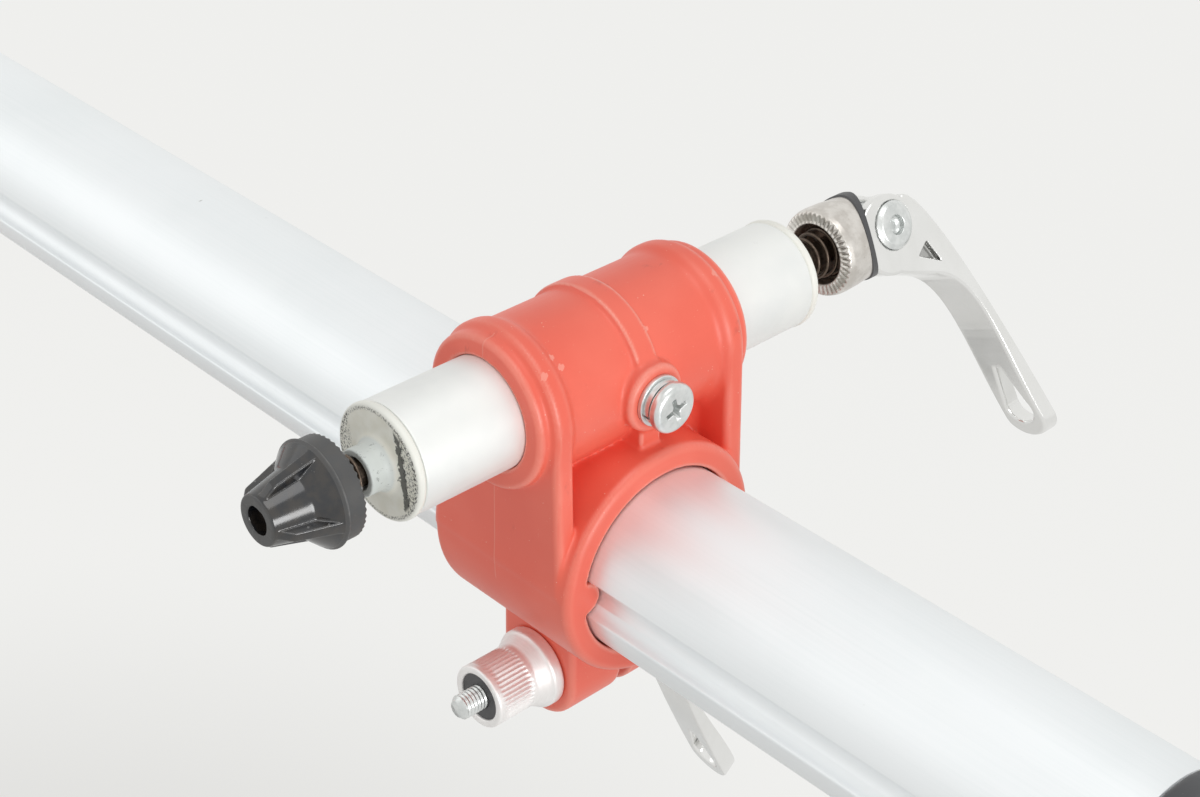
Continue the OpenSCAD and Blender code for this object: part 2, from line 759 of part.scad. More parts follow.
module head_bores() {
    rod_x(beam_r + run_gap, -head_half - 1, head_half + 1);
    for (sx = [-1, 1], sy = [-1, 1]) translate([sx * flange_bolt_x, sy * flange_bolt_y, 0])
        rod_z(flange_bolt_d / 2 + run_gap, -30, 30);
    translate([-hook_x, 0, 0]) rod_z(hook_d / 2 + run_gap, -80, 80);
}

hook_seat = -head_r - 3;
swivel_z = 22 - socket_depth;
swivel_boss = 31;
stud_r = 4;
swivel_insert_r = 5.5;

module head_body() color(red) at_beam() difference() {
    union() {
        head_half_shell(-1);
        rod_z(socket_r, -socket_depth, -head_split / 2 - flange_t);
        rod_z(socket_r + 2, -socket_depth, 12 - socket_depth);
        translate([-hook_x, 0, 0]) rod_z(9, hook_seat, -head_split / 2 - flange_t);
        plate_xz(-3, 3) polygon([[0, -75], [socket_r, -68], [head_half - 3, -head_r + 1], [head_half - 3, -9],
            [0, -9]]);
        both_sides() plate_yz(-3, 3) polygon([[0, -62], [socket_r, -58], [flange_half - 2, -9], [0, -9]]);
        translate([0, 0, swivel_z]) rod_y(10, -swivel_boss, 0);
    }
    head_bores();
    rod_z(socket_bore_r + run_gap, -socket_depth - 1, web_under);
    rod_z(swivel_shank_r + run_gap, -60, 0);
    rod_z(swivel_head_r + 1, -head_r - 4, 0);
    translate([0, 0, swivel_z]) {
        rod_y(stud_r + run_gap, -swivel_boss - 1, 0);
        rod_y(swivel_insert_r + run_gap, -swivel_boss - 1, -swivel_boss + 8);
    }
}

module cradle_body() color(red) at_beam() difference() {
    union() {
        head_half_shell(1);
        translate([-hook_x, 0, 0]) rod_z(9, head_split / 2, head_r + 8);
        translate([seat_x, 0, 0]) plate_xz(-seat_half, seat_half) seat_outline();
    }
    head_bores();
    translate([seat_x, 0, seat_h]) rod_y(shell_r + pad_t, -seat_half - 1, seat_half + 1);
    translate([seat_x, 0, 0]) for (s = [-1, 1]) scale([s, 1, 1])
        box(17, 60, -seat_half + 6, seat_half - 6, head_r + 3, seat_h - 16);
}

module seat_outline() {
    polygon([[-28, head_split / 2], [-30, seat_h - 8], [30, seat_h - 8], [28, head_split / 2]]);
    for (s = [-1, 1]) translate([s * 25, seat_h - 8]) circle(5);
}

// Two curved pads that the bottom bracket shell rests on
module cradle_pads() color(black) at_beam() translate([seat_x, 0, seat_h]) intersection() {
    difference() {
        rod_y(shell_r + pad_t - run_gap, -seat_half + 1, seat_half - 1);
        rod_y(shell_r, -seat_half, seat_half);
    }
    plate_xz(-seat_half, seat_half) for (s = [-1, 1]) scale([s, 1]) polygon([[6, -30], [0.5, -2], [30, -9.5], [30, -30]]);
}

bolt_head_h = 6;

module head_bolts() color(zinc) at_beam() {
    top = head_split / 2 + flange_t;
    r = flange_bolt_d / 2;
    for (sx = [-1, 1], sy = [-1, 1]) translate([sx * flange_bolt_x, sy * flange_bolt_y, 0]) {
        difference() {
            union() {
                rod_z(r, -top - 7, top + 0.5);
                rod_z(5, top, top + bolt_head_h);
            }
            rod_z(2.9, top + 3, top + bolt_head_h + 1, $fn = 6);
        }
        difference() {
            translate([0, 0, -top - 5]) cylinder(r = 5.8, h = 5, $fn = 6);
            rod_z(r + run_gap, -top - 6, -top + 1);
        }
    }
}

// Swivel between the head and the inner mast

swivel_shank_r = 4;
swivel_head_r = 6.5;

module swivel_bush() color(black) at_beam() difference() {
    union() {
        rod_z(socket_bore_r, -socket_depth, web_under - 0.5);
        rod_z(socket_r, -socket_depth - 2, -socket_depth);
    }
    rod_z(inner_r + run_gap, -socket_depth - 3, 0);
    translate([0, 0, swivel_z]) rod_y(stud_r + 0.4, -socket_r, 0);
}

module swivel_bolt() color(zinc) at_beam() {
    rod_z(swivel_head_r, -head_r - 4 + face_gap, -head_r + 1.5);
    rod_z(swivel_shank_r, web_under - 24, -head_r - 3);
}

module swivel_insert() color(brass) at_beam() translate([0, 0, swivel_z]) difference() {
    rod_y(swivel_insert_r, -swivel_boss, -swivel_boss + 8);
    rod_y(stud_r + run_gap, -swivel_boss - 1, 0);
}

module swivel_knob_stud() color(zinc) at_beam() translate([0, 0, swivel_z])
    rod_y(stud_r, -swivel_boss - 14, -inner_r - face_gap);

knob_r = 15;
knob_h = 15;

module swivel_knob() color(black) at_beam() translate([0, 0, swivel_z]) difference() {
    union() {
        translate([0, -swivel_boss - 2, 0]) rotate([90, 0, 0]) linear_extrude(knob_h) star(knob_r, 6);
        rod_y(9, -swivel_boss - 3, -swivel_boss - face_gap);
    }
    rod_y(stud_r, -swivel_boss - 14, 0);
}

// Hook that holds the bottom bracket shell down, with its star knob below the head

hook_r = hook_d / 2;
hook_sleeve_t = 2;
hook_bend = 20;
hook_top = seat_h + shell_r + hook_sleeve_t + hook_r + 1;
hook_tip_x = seat_x + 8;
hook_tip_bend = 14;
hook_end = hook_seat - knob_h - hook_lift - 8;

// The hook's bent run, drawn for a rod of radius r
module hook_run(r) {
    translate([-hook_x + hook_bend, 0, hook_top - hook_bend]) rotate([90, 0, 0])
        translate([0, 0, 0]) rotate([0, 0, 90]) rotate_extrude(angle = 90) translate([hook_bend, 0]) circle(r);
    translate([0, 0, hook_top]) rod_x(r, -hook_x + hook_bend, hook_tip_x);
    translate([hook_tip_x, 0, hook_top - hook_tip_bend]) rotate([90, 0, 0])
        rotate_extrude(angle = 90) translate([hook_tip_bend, 0]) circle(r);
}

module hook_rod() color(zinc) at_beam() {
    translate([-hook_x, 0, 0]) rod_z(hook_r, hook_end, hook_top - hook_bend);
    hook_run(hook_r);
}

module hook_sleeve() color(black) at_beam() difference() {
    union() {
        hook_run(hook_r + hook_sleeve_t);
        translate([hook_tip_x + hook_tip_bend, 0, hook_top - hook_tip_bend])
            rod_z(hook_r + hook_sleeve_t, -2, 0);
    }
    hook_run(hook_r + 0.01);
}

module hook_knob() color(black) at_beam() translate([-hook_x, 0, hook_seat - face_gap]) difference() {
    union() {
        rod_z(9, -3, 0);
        translate([0, 0, -knob_h]) linear_extrude(knob_h - 2) star(knob_r, 6);
    }
    rod_z(6, -knob_h - 1, 1);
}

module hook_knob_insert() color(brass) at_beam() translate([-hook_x, 0, hook_seat - face_gap])
    tube_z(6, hook_r + run_gap, -knob_h, 0);

// Mast

module inner_mast() color(silver) at_beam() tube_z(inner_r, inner_r - inner_wall, inner_top - inner_len, inner_top);

module mast_plug() color(black) at_beam() difference() {
    union() {
        rod_z(inner_r - inner_wall - run_gap, inner_top - 30, inner_top + 0.5);
        rod_z(inner_r, inner_top, inner_top + 2);
    }
    rod_z(swivel_shank_r, inner_top - 31, inner_top + 3);
}

guide_len = 30;

module mast_guide() color(black) at_beam()
    tube_z(outer_bore_r - run_gap, inner_r, inner_top - inner_len, inner_top - inner_len + guide_len);

module mast_bush() color(black) at_mast() difference() {
    union() {
        rod_z(outer_bore_r, outer_top - collar_len, outer_top);
        rod_z(outer_r, outer_top, outer_top + 2.5);
    }
    rod_z(inner_r + run_gap, outer_top - collar_len - 1, outer_top + 3);
    box(0, outer_d, -ear_slot / 2, ear_slot / 2, outer_top - collar_len - 1, outer_top + 3);
}

module outer_mast() color(silver) at_mast() difference() {
    rod_z(outer_r, outer_foot, outer_top);
    rod_z(outer_bore_r, outer_foot - 1, outer_top + 1);
    box(0, outer_d, -ear_slot / 2, ear_slot / 2, outer_top - collar_len, outer_top + 1);
}

module outer_mast_cap() color(black) at_mast() {
    tube_z(outer_bore_r - run_gap, outer_bore_r - 3, outer_foot - 0.5, outer_foot + 15);
    rod_z(outer_r + 1, outer_foot - 5, outer_foot);
}

module mast_collar() color(red) at_mast() translate([0, 0, collar_z]) {
    half = collar_len / 2 - 3;
    difference() {
        union() {
            rod_z(mast_collar_r, -half, half);
            rod_z(mast_collar_r + 1.5, half - 5, half);
            rod_z(mast_collar_r + 1.5, -half, 5 - half);
            plate_xz(-ear_y, ear_y) translate([collar_bolt_x, 0]) lug(ear_r, collar_bolt_x - outer_r);
        }
        rod_z(outer_r + run_gap, -half - 1, half + 1);
        box(0, collar_bolt_x + ear_r + 1, -ear_slot / 2, ear_slot / 2, -half - 1, half + 1);
        translate([collar_bolt_x, 0, 0]) rod_y(clamp_bolt_r + run_gap, -ear_y - 1, ear_y + 1);
    }
}

module collar_bolt() color(zinc) at_collar() clamp_bolt_shape();

module collar_nut() color(silver) at_collar() clamp_nut_shape(false);

module collar_cam_pin() color(zinc) at_collar() translate([0, clamp_pin_y, 0]) cam_pin(clamp_bolt_r);

module collar_cam_seat() color(black) at_collar() cam_seat();

module collar_lever() color(silver) at_collar() translate([0, clamp_pin_y, 0]) rotate([-close_turn, 0, 0]) cam_lever();

close_turn = 12;

// Tripod

cheek_r = 13;
cheek_in = knuckle_w / 2 + face_gap;

module crown() color(red) at_mast() difference() {
    union() {
        rod_z(crown_r, pivot_z - crown_half, pivot_z + crown_half);
        for (s = [-1, 1]) translate([0, 0, pivot_z + s * (crown_half - 3)]) rod_z(crown_r + 3, -3, 3);
        for (i = [0 : 2]) rotate([0, 0, 60 + 120 * i]) {
            both_sides() translate([pivot_r, 0, pivot_z]) plate_xz(cheek_in, cheek_in + cheek_t)
                lug(cheek_r, pivot_r - outer_r - 1);
            box(outer_r + 1, stop_r, -cheek_in - 1, cheek_in + 1, pivot_z - 20, pivot_z + 24);
        }
    }
    rod_z(outer_r + run_gap, pivot_z - crown_half - 1, pivot_z + crown_half + 1);
    for (i = [0 : 2]) rotate([0, 0, 60 + 120 * i]) translate([pivot_r, 0, pivot_z])
        rod_y(leg_pin_d / 2 + run_gap, -knuckle_w - 5, knuckle_w + 5);
}

// Each pivot is a bolt with a nut on its other end
module leg_pins() color(zinc) for (i = [0 : 2]) at_leg(i) {
    side = cheek_in + cheek_t;
    rod_y(leg_pin_d / 2, -side - 7, side + 0.5);
    rod_y(7, side, side + 5);
    difference() {
        translate([0, -side, 0]) rotate([90, 0, 0]) cylinder(r = 7.2, h = 6, $fn = 6);
        rod_y(leg_pin_d / 2 + run_gap, -side - 8, -side + 1);
    }
}

// The knuckle: a round lug on the pin, a heel that stops against the crown, and a spigot in the leg tube
module leg_knuckle(i) color(black) difference() {
    stop = stop_r + face_gap - pivot_r;
    neck_r = leg_r + 1;
    union() {
        at_leg(i) plate_xz(-knuckle_w / 2, knuckle_w / 2) {
            circle(12);
            polygon([[stop, 2], [stop, 19], [-4, 19], [7, 6], [0, -6], [-6, -5]]);
        }
        along_leg(i) {
            box(-9, 9, -knuckle_w / 2, knuckle_w / 2, 5, shoulder - 7);
            rod_z(neck_r, shoulder - 8, shoulder);
            rod_z(leg_r - leg_wall - run_gap, shoulder - 1, shoulder + 26);
        }
    }
    at_leg(i) rod_y(leg_pin_d / 2 + run_gap, -knuckle_w, knuckle_w);
}

module leg(i) color(silver) along_leg(i) tube_z(leg_r, leg_r - leg_wall, shoulder, leg_len - foot_len / 2);

module foot(i) color(black) difference() {
    along_leg(i) difference() {
        union() {
            rod_z(foot_r, leg_len - foot_len + 12, leg_len + foot_r * 2);
            rod_z(foot_r - 1.6, leg_len - foot_len, leg_len - foot_len + 13);
        }
        rod_z(leg_r + run_gap, leg_len - foot_len - 1, leg_len - foot_len / 2);
    }
    at_mast() box(-2 * foot_reach, 2 * foot_reach, -2 * foot_reach, 2 * foot_reach, -100, 0);
}

module leg_1() leg(0);
module leg_2() leg(1);
module leg_3() leg(2);
module leg_knuckle_1() leg_knuckle(0);
module leg_knuckle_2() leg_knuckle(1);
module leg_knuckle_3() leg_knuckle(2);
module foot_1() foot(0);
module foot_2() foot(1);
module foot_3() foot(2);

slider_body();
hub_tube();
hub_end_plugs();
hub_screw();
hub_screw_washers();
clamp_bolt();
clamp_cam_pin();
clamp_cam_seat();
clamp_lever();
clamp_nut();
clamp_nut_insert();
fork_skewer_rod();
fork_cam_pin();
fork_cam_cup();
fork_cam_washer();
fork_lever();
fork_nut();
fork_springs();
beam();
beam_front_cap();
beam_rear_cap();
head_body();
cradle_body();
cradle_pads();
head_bolts();
swivel_bush();
swivel_bolt();
swivel_knob();
swivel_knob_stud();
swivel_insert();
hook_rod();
hook_sleeve();
hook_knob();
hook_knob_insert();
inner_mast();
mast_plug();
mast_guide();
mast_bush();
outer_mast();
outer_mast_cap();
mast_collar();
collar_bolt();
collar_nut();
collar_cam_pin();
collar_cam_seat();
collar_lever();
crown();
leg_pins();
leg_1();
leg_2();
leg_3();
leg_knuckle_1();
leg_knuckle_2();
leg_knuckle_3();
foot_1();
foot_2();
foot_3();
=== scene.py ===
"""Looks of a folding bicycle repair stand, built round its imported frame.

Lengths are in millimetres until a mesh is made, because that is how the stand is measured.
X runs along the beam to its front, Y along the dummy hub to its cam lever, Z is up.
"""
import logging
import math
from collections.abc import Callable, Iterator, Sequence
from dataclasses import dataclass, field
from enum import Enum

import bmesh
import bpy
import numpy as np
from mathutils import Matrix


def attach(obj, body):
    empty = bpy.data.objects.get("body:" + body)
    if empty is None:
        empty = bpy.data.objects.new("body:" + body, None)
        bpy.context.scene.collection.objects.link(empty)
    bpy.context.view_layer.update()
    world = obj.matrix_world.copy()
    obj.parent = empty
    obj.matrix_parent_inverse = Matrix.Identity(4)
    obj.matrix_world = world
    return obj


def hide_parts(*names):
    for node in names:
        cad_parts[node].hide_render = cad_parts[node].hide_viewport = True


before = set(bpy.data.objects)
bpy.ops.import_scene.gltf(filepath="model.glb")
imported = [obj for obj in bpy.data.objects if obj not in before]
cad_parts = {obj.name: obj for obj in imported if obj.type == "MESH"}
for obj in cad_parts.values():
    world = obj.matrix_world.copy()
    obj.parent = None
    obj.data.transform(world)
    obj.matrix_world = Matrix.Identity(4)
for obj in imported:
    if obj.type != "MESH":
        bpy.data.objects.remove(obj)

import openvdb
from mathutils import Matrix, Vector

log = logging.getLogger("repair_stand")

MM = 0.001
AXIS = 0.0001
BEAM_HEIGHT = 940.0
HUB_HEIGHT = 34.2
BOLT_DROP = 29.7
PIN_OUT = 25.3616
CLAMP_SPIN = 4.0
OPEN_TURN = 132.0
MAST_X = -128.0
SLIDER = Vector((472.3157, 0.0, BEAM_HEIGHT))
HUB = SLIDER + Vector((0.0, 0.0, HUB_HEIGHT))
CLAMP_BOLT = SLIDER + Vector((0.0, 0.0, -BOLT_DROP))
COLLAR_BOLT = Vector((-91.6843, 0.0, 638.0))
Array = np.ndarray
Colour = tuple[float, float, float]
Point = tuple[float, float]


def paint(red: int, green: int, blue: int) -> Colour:
    """A colour as the eye reads it, 0 to 255, turned into the renderer's linear numbers.

    Args:
        red: Red share.
        green: Green share.
        blue: Blue share.

    Returns:
        The three linear numbers.
    """
    def linear(value: float) -> float:
        """One channel, made linear."""
        return value / 12.92 if value <= 0.04045 else ((value + 0.055) / 1.055) ** 2.4

    return linear(red / 255), linear(green / 255), linear(blue / 255)


# --- Shader maths -------------------------------------------------------------------------


class Sock:
    """A shader socket that takes part in Python expressions on values."""

    def __init__(self, graph: "Graph", socket: bpy.types.NodeSocket) -> None:
        """Keeps the graph and its socket."""
        self.graph = graph
        self.socket = socket

    def _with(self, operation: str, first: "Sock | float", second: "Sock | float") -> "Sock":
        """One Math node on two values."""
        return self.graph.add("ShaderNodeMath", {"operation": operation}, {0: first, 1: second})

    def __add__(self, other: "Sock | float") -> "Sock":
        """Sum."""
        return self._with("ADD", self, other)

    __radd__ = __add__

    def __sub__(self, other: "Sock | float") -> "Sock":
        """Difference."""
        return self._with("SUBTRACT", self, other)

    def __rsub__(self, other: "Sock | float") -> "Sock":
        """Difference from a number."""
        return self._with("SUBTRACT", other, self)

    def __mul__(self, other: "Sock | float") -> "Sock":
        """Product."""
        return self._with("MULTIPLY", self, other)

    __rmul__ = __mul__

    def __truediv__(self, other: "Sock | float") -> "Sock":
        """Quotient."""
        return self._with("DIVIDE", self, other)

    def __rtruediv__(self, other: "Sock | float") -> "Sock":
        """Quotient of a number."""
        return self._with("DIVIDE", other, self)

    def __pow__(self, other: "Sock | float") -> "Sock":
        """Power."""
        return self._with("POWER", self, other)

    def __abs__(self) -> "Sock":
        """Size without sign."""
        return self._with("ABSOLUTE", self, 0.0)

    def low(self, other: "Sock | float") -> "Sock":
        """The lower of two values."""
        return self._with("MINIMUM", self, other)

    def high(self, other: "Sock | float") -> "Sock":
        """The higher of two values."""
        return self._with("MAXIMUM", self, other)

    def ease(self, start: float, end: float, low: float = 0.0, high: float = 1.0) -> "Sock":
        """A smooth step.

        Args:
            start: Value at which the step starts.
            end: Value at which it ends, which may be below start.
            low: Result before start.
            high: Result after end.

        Returns:
            The stepped value.
        """
        if start > end:
            start, end, low, high = end, start, high, low
        return self.graph.add(
            "ShaderNodeMapRange", {"interpolation_type": "SMOOTHSTEP"},
            {0: self, 1: start, 2: end, 3: low, 4: high},
        )


class Graph:
    """The node graph of one material, whose textures are measured in millimetres."""

    def __init__(self, name: str) -> None:
        """Starts an empty material.

        Args:
            name: The material's name.
        """
        self.material = bpy.data.materials.new(name)
        self.material.use_nodes = True
        self.tree = self.material.node_tree
        self.tree.nodes.clear()

    def add(
        self, kind: str, settings: dict | None = None, inputs: dict | None = None,
        out: int | str = 0,
    ) -> "Sock | None":
        """Adds any node.

        Args:
            kind: The node's type.
            settings: Its own settings, which are set first.
            inputs: Values or links of its sockets, by name or number.
            out: Which output is wanted.

        Returns:
            That output, or nothing for a node without outputs.
        """
        node = self.tree.nodes.new(kind)
        for key, value in (settings or {}).items():
            setattr(node, key, value)
        for key, value in (inputs or {}).items():
            if isinstance(value, Sock):
                self.tree.links.new(value.socket, node.inputs[key])
            else:
                node.inputs[key].default_value = value
        return Sock(self, node.outputs[out]) if node.outputs else None

    def place(self) -> Sock:
        """The point on the piece, in millimetres."""
        spot = self.add("ShaderNodeTexCoord", out="Object")
        return self.add("ShaderNodeVectorMath", {"operation": "SCALE"}, {0: spot, "Scale": 1000.0})

    def stretch(self, spot: Sock, factors: Sequence[float]) -> Sock:
        """A point with each coordinate multiplied by its own number."""
        return self.add(
            "ShaderNodeVectorMath", {"operation": "MULTIPLY"}, {0: spot, 1: tuple(factors)})

    def shift(self, spot: Sock, origin: Sequence[float]) -> Sock:
        """A point seen from another origin."""
        return self.add(
            "ShaderNodeVectorMath", {"operation": "SUBTRACT"}, {0: spot, 1: tuple(origin)})

    def split(self, spot: Sock) -> tuple[Sock, Sock, Sock]:
        """Takes a point apart.

        Args:
            spot: The point.

        Returns:
            Its X, Y and Z.
        """
        first = self.add("ShaderNodeSeparateXYZ", inputs={0: spot})
        node = first.socket.node
        return first, Sock(self, node.outputs[1]), Sock(self, node.outputs[2])

    def noise(self, spot: Sock, per_mm: float, detail: float = 2.0, rough: float = 0.5) -> Sock:
        """Cloudy noise of a given fineness, about 0.5 on average."""
        return self.add("ShaderNodeTexNoise", inputs={
            "Vector": spot, "Scale": per_mm, "Detail": detail, "Roughness": rough})

    def specks(self, spot: Sock, per_mm: float, size: float, share: float) -> Sock:
        """Small round specks.

        Args:
            spot: The point.
            per_mm: Cells per millimetre.
            size: Radius of a speck as a share of its cell.
            share: Share of the cells that hold one.

        Returns:
            1 on a speck and 0 beside it.
        """
        cell = self.add("ShaderNodeTexVoronoi", inputs={"Vector": spot, "Scale": per_mm})
        colour = Sock(self, cell.socket.node.outputs["Color"])
        chance = self.split(colour)[0]
        return cell.ease(size, size * 0.5) * chance.ease(1.0 - share, 1.0 - share + 0.01)

    def mix(self, first: "Sock | Colour", second: "Sock | Colour", share: "Sock | float") -> Sock:
        """Blends two colours.

        Args:
            first: Colour where share is 0.
            second: Colour where share is 1.
            share: The blend.

        Returns:
            The blended colour.
        """
        both = [value if isinstance(value, Sock) else (*value, 1.0) for value in (first, second)]
        return self.add(
            "ShaderNodeMix", {"data_type": "RGBA", "clamp_factor": True},
            {0: share, 6: both[0], 7: both[1]}, out=2,
        )

    def edges(self) -> Sock:
        """How sharply the surface turns outward, 0.5 on flat ground."""
        return self.add("ShaderNodeNewGeometry", out="Pointiness")

    def surface(
        self, colour: "Sock | Colour", rough: "Sock | float", metal: "Sock | float" = 0.0,
        height: Sock | None = None, lift: float = 0.02, **constants: float,
    ) -> bpy.types.Material:
        """Ends the graph in a shader.

        Args:
            colour: Base colour.
            rough: Roughness.
            metal: Metallic share.
            height: Relief from 0 to 1.
            lift: Height of that relief in millimetres.
            constants: Other sockets of the shader, with _ for a space.

        Returns:
            The material.
        """
        inputs: dict = {"Base Color": colour if isinstance(colour, Sock) else (*colour, 1.0),
                        "Roughness": rough, "Metallic": metal}
        if height is not None:
            inputs["Normal"] = self.add(
                "ShaderNodeBump", inputs={"Strength": 1.0, "Distance": lift * MM, "Height": height})
        inputs.update({key.replace("_", " "): value for key, value in constants.items()})
        shader = self.add("ShaderNodeBsdfPrincipled", inputs=inputs)
        self.add("ShaderNodeOutputMaterial", inputs={"Surface": shader})
        return self.material


# --- Finishes -----------------------------------------------------------------------------


@dataclass(frozen=True)
class Finish:
    """A named finish, worked out once and shared by its pieces."""

    name: str

    def material(self) -> bpy.types.Material:
        """The finish's material, made at the first call."""
        found = bpy.data.materials.get(self.name)
        return found or self.work(Graph(self.name))

    def work(self, graph: Graph) -> bpy.types.Material:
        """Fills the graph.

        Args:
            graph: The material's empty graph.

        Returns:
            The material.
        """
        raise NotImplementedError


@dataclass(frozen=True)
class Moulding(Finish):
    """Injection-moulded plastic with a fine grain, painted highlights on its edges, dust and smudges."""

    tone: Colour = (0.5, 0.5, 0.5)
    deep: Colour = (0.4, 0.4, 0.4)
    # Lighter tone for the painted highlight on sharp edges; it also pales the seam line.
    wear_and_edge_highlight: Colour = (0.6, 0.6, 0.6)
    dust: Colour = (0.8, 0.75, 0.7)
    dusty: float = 0.05
    smudge: Colour = (0.1, 0.05, 0.05)
    smudged: float = 0.25
    gloss: float = 0.38
    grain: float = 0.02
    seam_x: float | None = None

    def work(self, graph: Graph) -> bpy.types.Material:
        """Fills the graph.

        Args:
            graph: The material's empty graph.

        Returns:
            The material.
        """
        spot = graph.place()
        cloud = graph.noise(spot, 0.035, 3.0, 0.55)
        colour = graph.mix(self.deep, self.tone, cloud.ease(0.3, 0.62))
        # Painted highlight: sharp outer edges are paled toward a lighter tone.
        edge = graph.edges().ease(0.505, 0.54) * 0.6
        colour = graph.mix(colour, self.wear_and_edge_highlight, edge)
        stain = graph.noise(graph.stretch(spot, (1.0, 0.6, 0.5)), 0.16, 5.0, 0.62).ease(0.63, 0.76)
        colour = graph.mix(colour, self.smudge, stain * self.smudged)
        dust = (graph.specks(spot, 1.1, 0.14, self.dusty)
                + graph.specks(spot, 2.6, 0.16, self.dusty * 0.8))
        colour = graph.mix(colour, self.dust, dust.low(1.0) * 0.8)
        grain = graph.noise(spot, 3.2, 3.0, 0.6)
        height = grain * 0.6 + graph.noise(spot, 0.25, 2.0) * 0.4
        if self.seam_x is not None:
            along_x, along_y, _ = graph.split(spot)
            line = abs(along_x - self.seam_x).ease(0.2, 0.06) * abs(along_y).ease(23.4, 23.6)
            height = height + line * 2.0
            # The seam line is paled with the same lighter edge-highlight tone.
            colour = graph.mix(colour, self.wear_and_edge_highlight, line * 0.35)
        rough = self.gloss + (grain - 0.5) * 0.12 + dust.low(1.0) * 0.3 - edge * 0.08
        return graph.surface(colour, rough, height=height, lift=self.grain, IOR=1.5)


@dataclass(frozen=True)
class Satin(Finish):
    """Drawn, turned or polished metal: fine streaks, faint clouds, small nicks, and painted shade in a
    marked hollow where asked.
    """

    tone: Colour = (0.7, 0.7, 0.7)
    deep: Colour = (0.6, 0.6, 0.6)
    gloss: float = 0.3
    metal: float = 0.9
    streaks: tuple[float, float, float] = (0.02, 6.0, 6.0)
    streaked: float = 0.08
    nick: Colour = (0.2, 0.18, 0.16)
    nicked: float = 0.015
    cloudy: float = 0.03
    relief: float = 0.004
    # True where a marked hollow is darkened with painted shade.
    shaded_hollows: bool = False

    def work(self, graph: Graph) -> bpy.types.Material:
        """Fills the graph.

        Args:
            graph: The material's empty graph.

        Returns:
            The material.
        """
        spot = graph.place()
        streak = graph.noise(graph.stretch(spot, self.streaks), 1.0, 4.0, 0.6)
        cloud = graph.noise(spot, self.cloudy, 3.0)
        colour = graph.mix(self.deep, self.tone, (streak * 0.4 + cloud * 0.6).ease(0.3, 0.62))
        nicks = graph.specks(graph.stretch(spot, (1.0, 0.45, 0.45)), 0.35, 0.12, self.nicked)
        wear_and_edge_highlight = graph.noise(spot, 0.9, 4.0, 0.7).ease(0.66, 0.78) * self.nicked * 6.0
        colour = graph.mix(colour, self.nick, (nicks * 0.7 + wear_and_edge_highlight).low(1.0))
        # Painted shade: the marked hollow is darkened to grey.
        if self.shaded_hollows:
            hollow_shade = graph.add("ShaderNodeAttribute", {"attribute_name": "hollow_shade"}, out="Fac")
            colour = graph.mix(colour, paint(176, 176, 174), hollow_shade)
        rough = self.gloss + (streak - 0.5) * self.streaked * 2.0 + nicks * 0.2
        return graph.surface(colour, rough, self.metal, height=streak, lift=self.relief)


@dataclass(frozen=True)
class HubTube(Finish):
    """The dummy hub's bead-blasted tube, with a few grey rub marks."""

    def work(self, graph: Graph) -> bpy.types.Material:
        """Fills the graph.

        Args:
            graph: The material's empty graph.

        Returns:
            The material.
        """
        spot = graph.place()
        fine = graph.noise(spot, 5.0, 3.0, 0.6)
        cloud = graph.noise(spot, 0.06, 3.0)
        colour = graph.mix(paint(233, 235, 234), paint(241, 242, 240), cloud.ease(0.35, 0.65))
        rubs = graph.noise(graph.stretch(spot, (0.5, 0.25, 0.5)), 0.5, 5.0, 0.7).ease(0.66, 0.8)
        colour = graph.mix(colour, paint(120, 118, 112), rubs * 0.5)
        rough = 0.5 + (fine - 0.5) * 0.15 + rubs * 0.1
        return graph.surface(colour, rough, 0.35, height=fine, lift=0.004)


@dataclass(frozen=True)
class ScuffedNylon(Finish):
    """Cream nylon end plugs, marked black where fork ends have turned on them."""

    def work(self, graph: Graph) -> bpy.types.Material:
        """Fills the graph.

        Args:
            graph: The material's empty graph.

        Returns:
            The material.
        """
        spot = graph.shift(graph.place(), HUB)
        along_x, along_y, along_z = graph.split(spot)
        radius = (along_x * along_x + along_z * along_z) ** 0.5
        face = abs(along_y).ease(49.2, 49.8)
        cloud = graph.noise(spot, 0.3, 3.0)
        colour = graph.mix(paint(236, 234, 222), paint(244, 243, 234), cloud.ease(0.35, 0.65))
        rim = radius.ease(9.8, 10.7) + (1.0 - face)
        colour = graph.mix(colour, paint(240, 240, 233), rim.low(1.0))
        stub = (1.0 - radius.ease(5.4, 6.4)) * abs(along_y).ease(50.2, 50.8)
        colour = graph.mix(colour, paint(214, 219, 216), stub)
        scratch = graph.noise(graph.stretch(spot, (1.0, 0.4, 1.0)), 2.2, 5.0, 0.75)
        coarse = graph.noise(spot, 0.9, 5.0, 0.68)
        lean = along_x * 0.98 + along_z * 0.17 + (coarse - 0.5) * 3.4
        band = lean.ease(5.7, 6.0) * (1.0 - lean.ease(7.2, 7.6)) * (1.0 - radius.ease(9.2, 9.9))
        beyond = lean.ease(6.8, 7.4) + lean.ease(-6.5, -7.5)
        scraped = beyond.low(1.0) * scratch.ease(0.5, 0.58) * (1.0 - radius.ease(10.2, 10.8))
        pecks = stub * graph.noise(
            graph.stretch(spot, (1.4, 0.7, 1.4)), 0.9, 5.0, 0.8).ease(0.58, 0.68)
        ring = radius.ease(9.7, 10.1) * (1.0 - radius.ease(10.3, 10.7)) * scratch.ease(0.46, 0.56)
        marks = (face * (band * 0.85 + scraped * 0.8 + ring * 0.7) + pecks * 0.7).low(1.0)
        colour = graph.mix(colour, paint(44, 46, 45), marks)
        return graph.surface(
            colour, 0.42 + marks * 0.3, height=scratch + marks, lift=0.015, IOR=1.5)


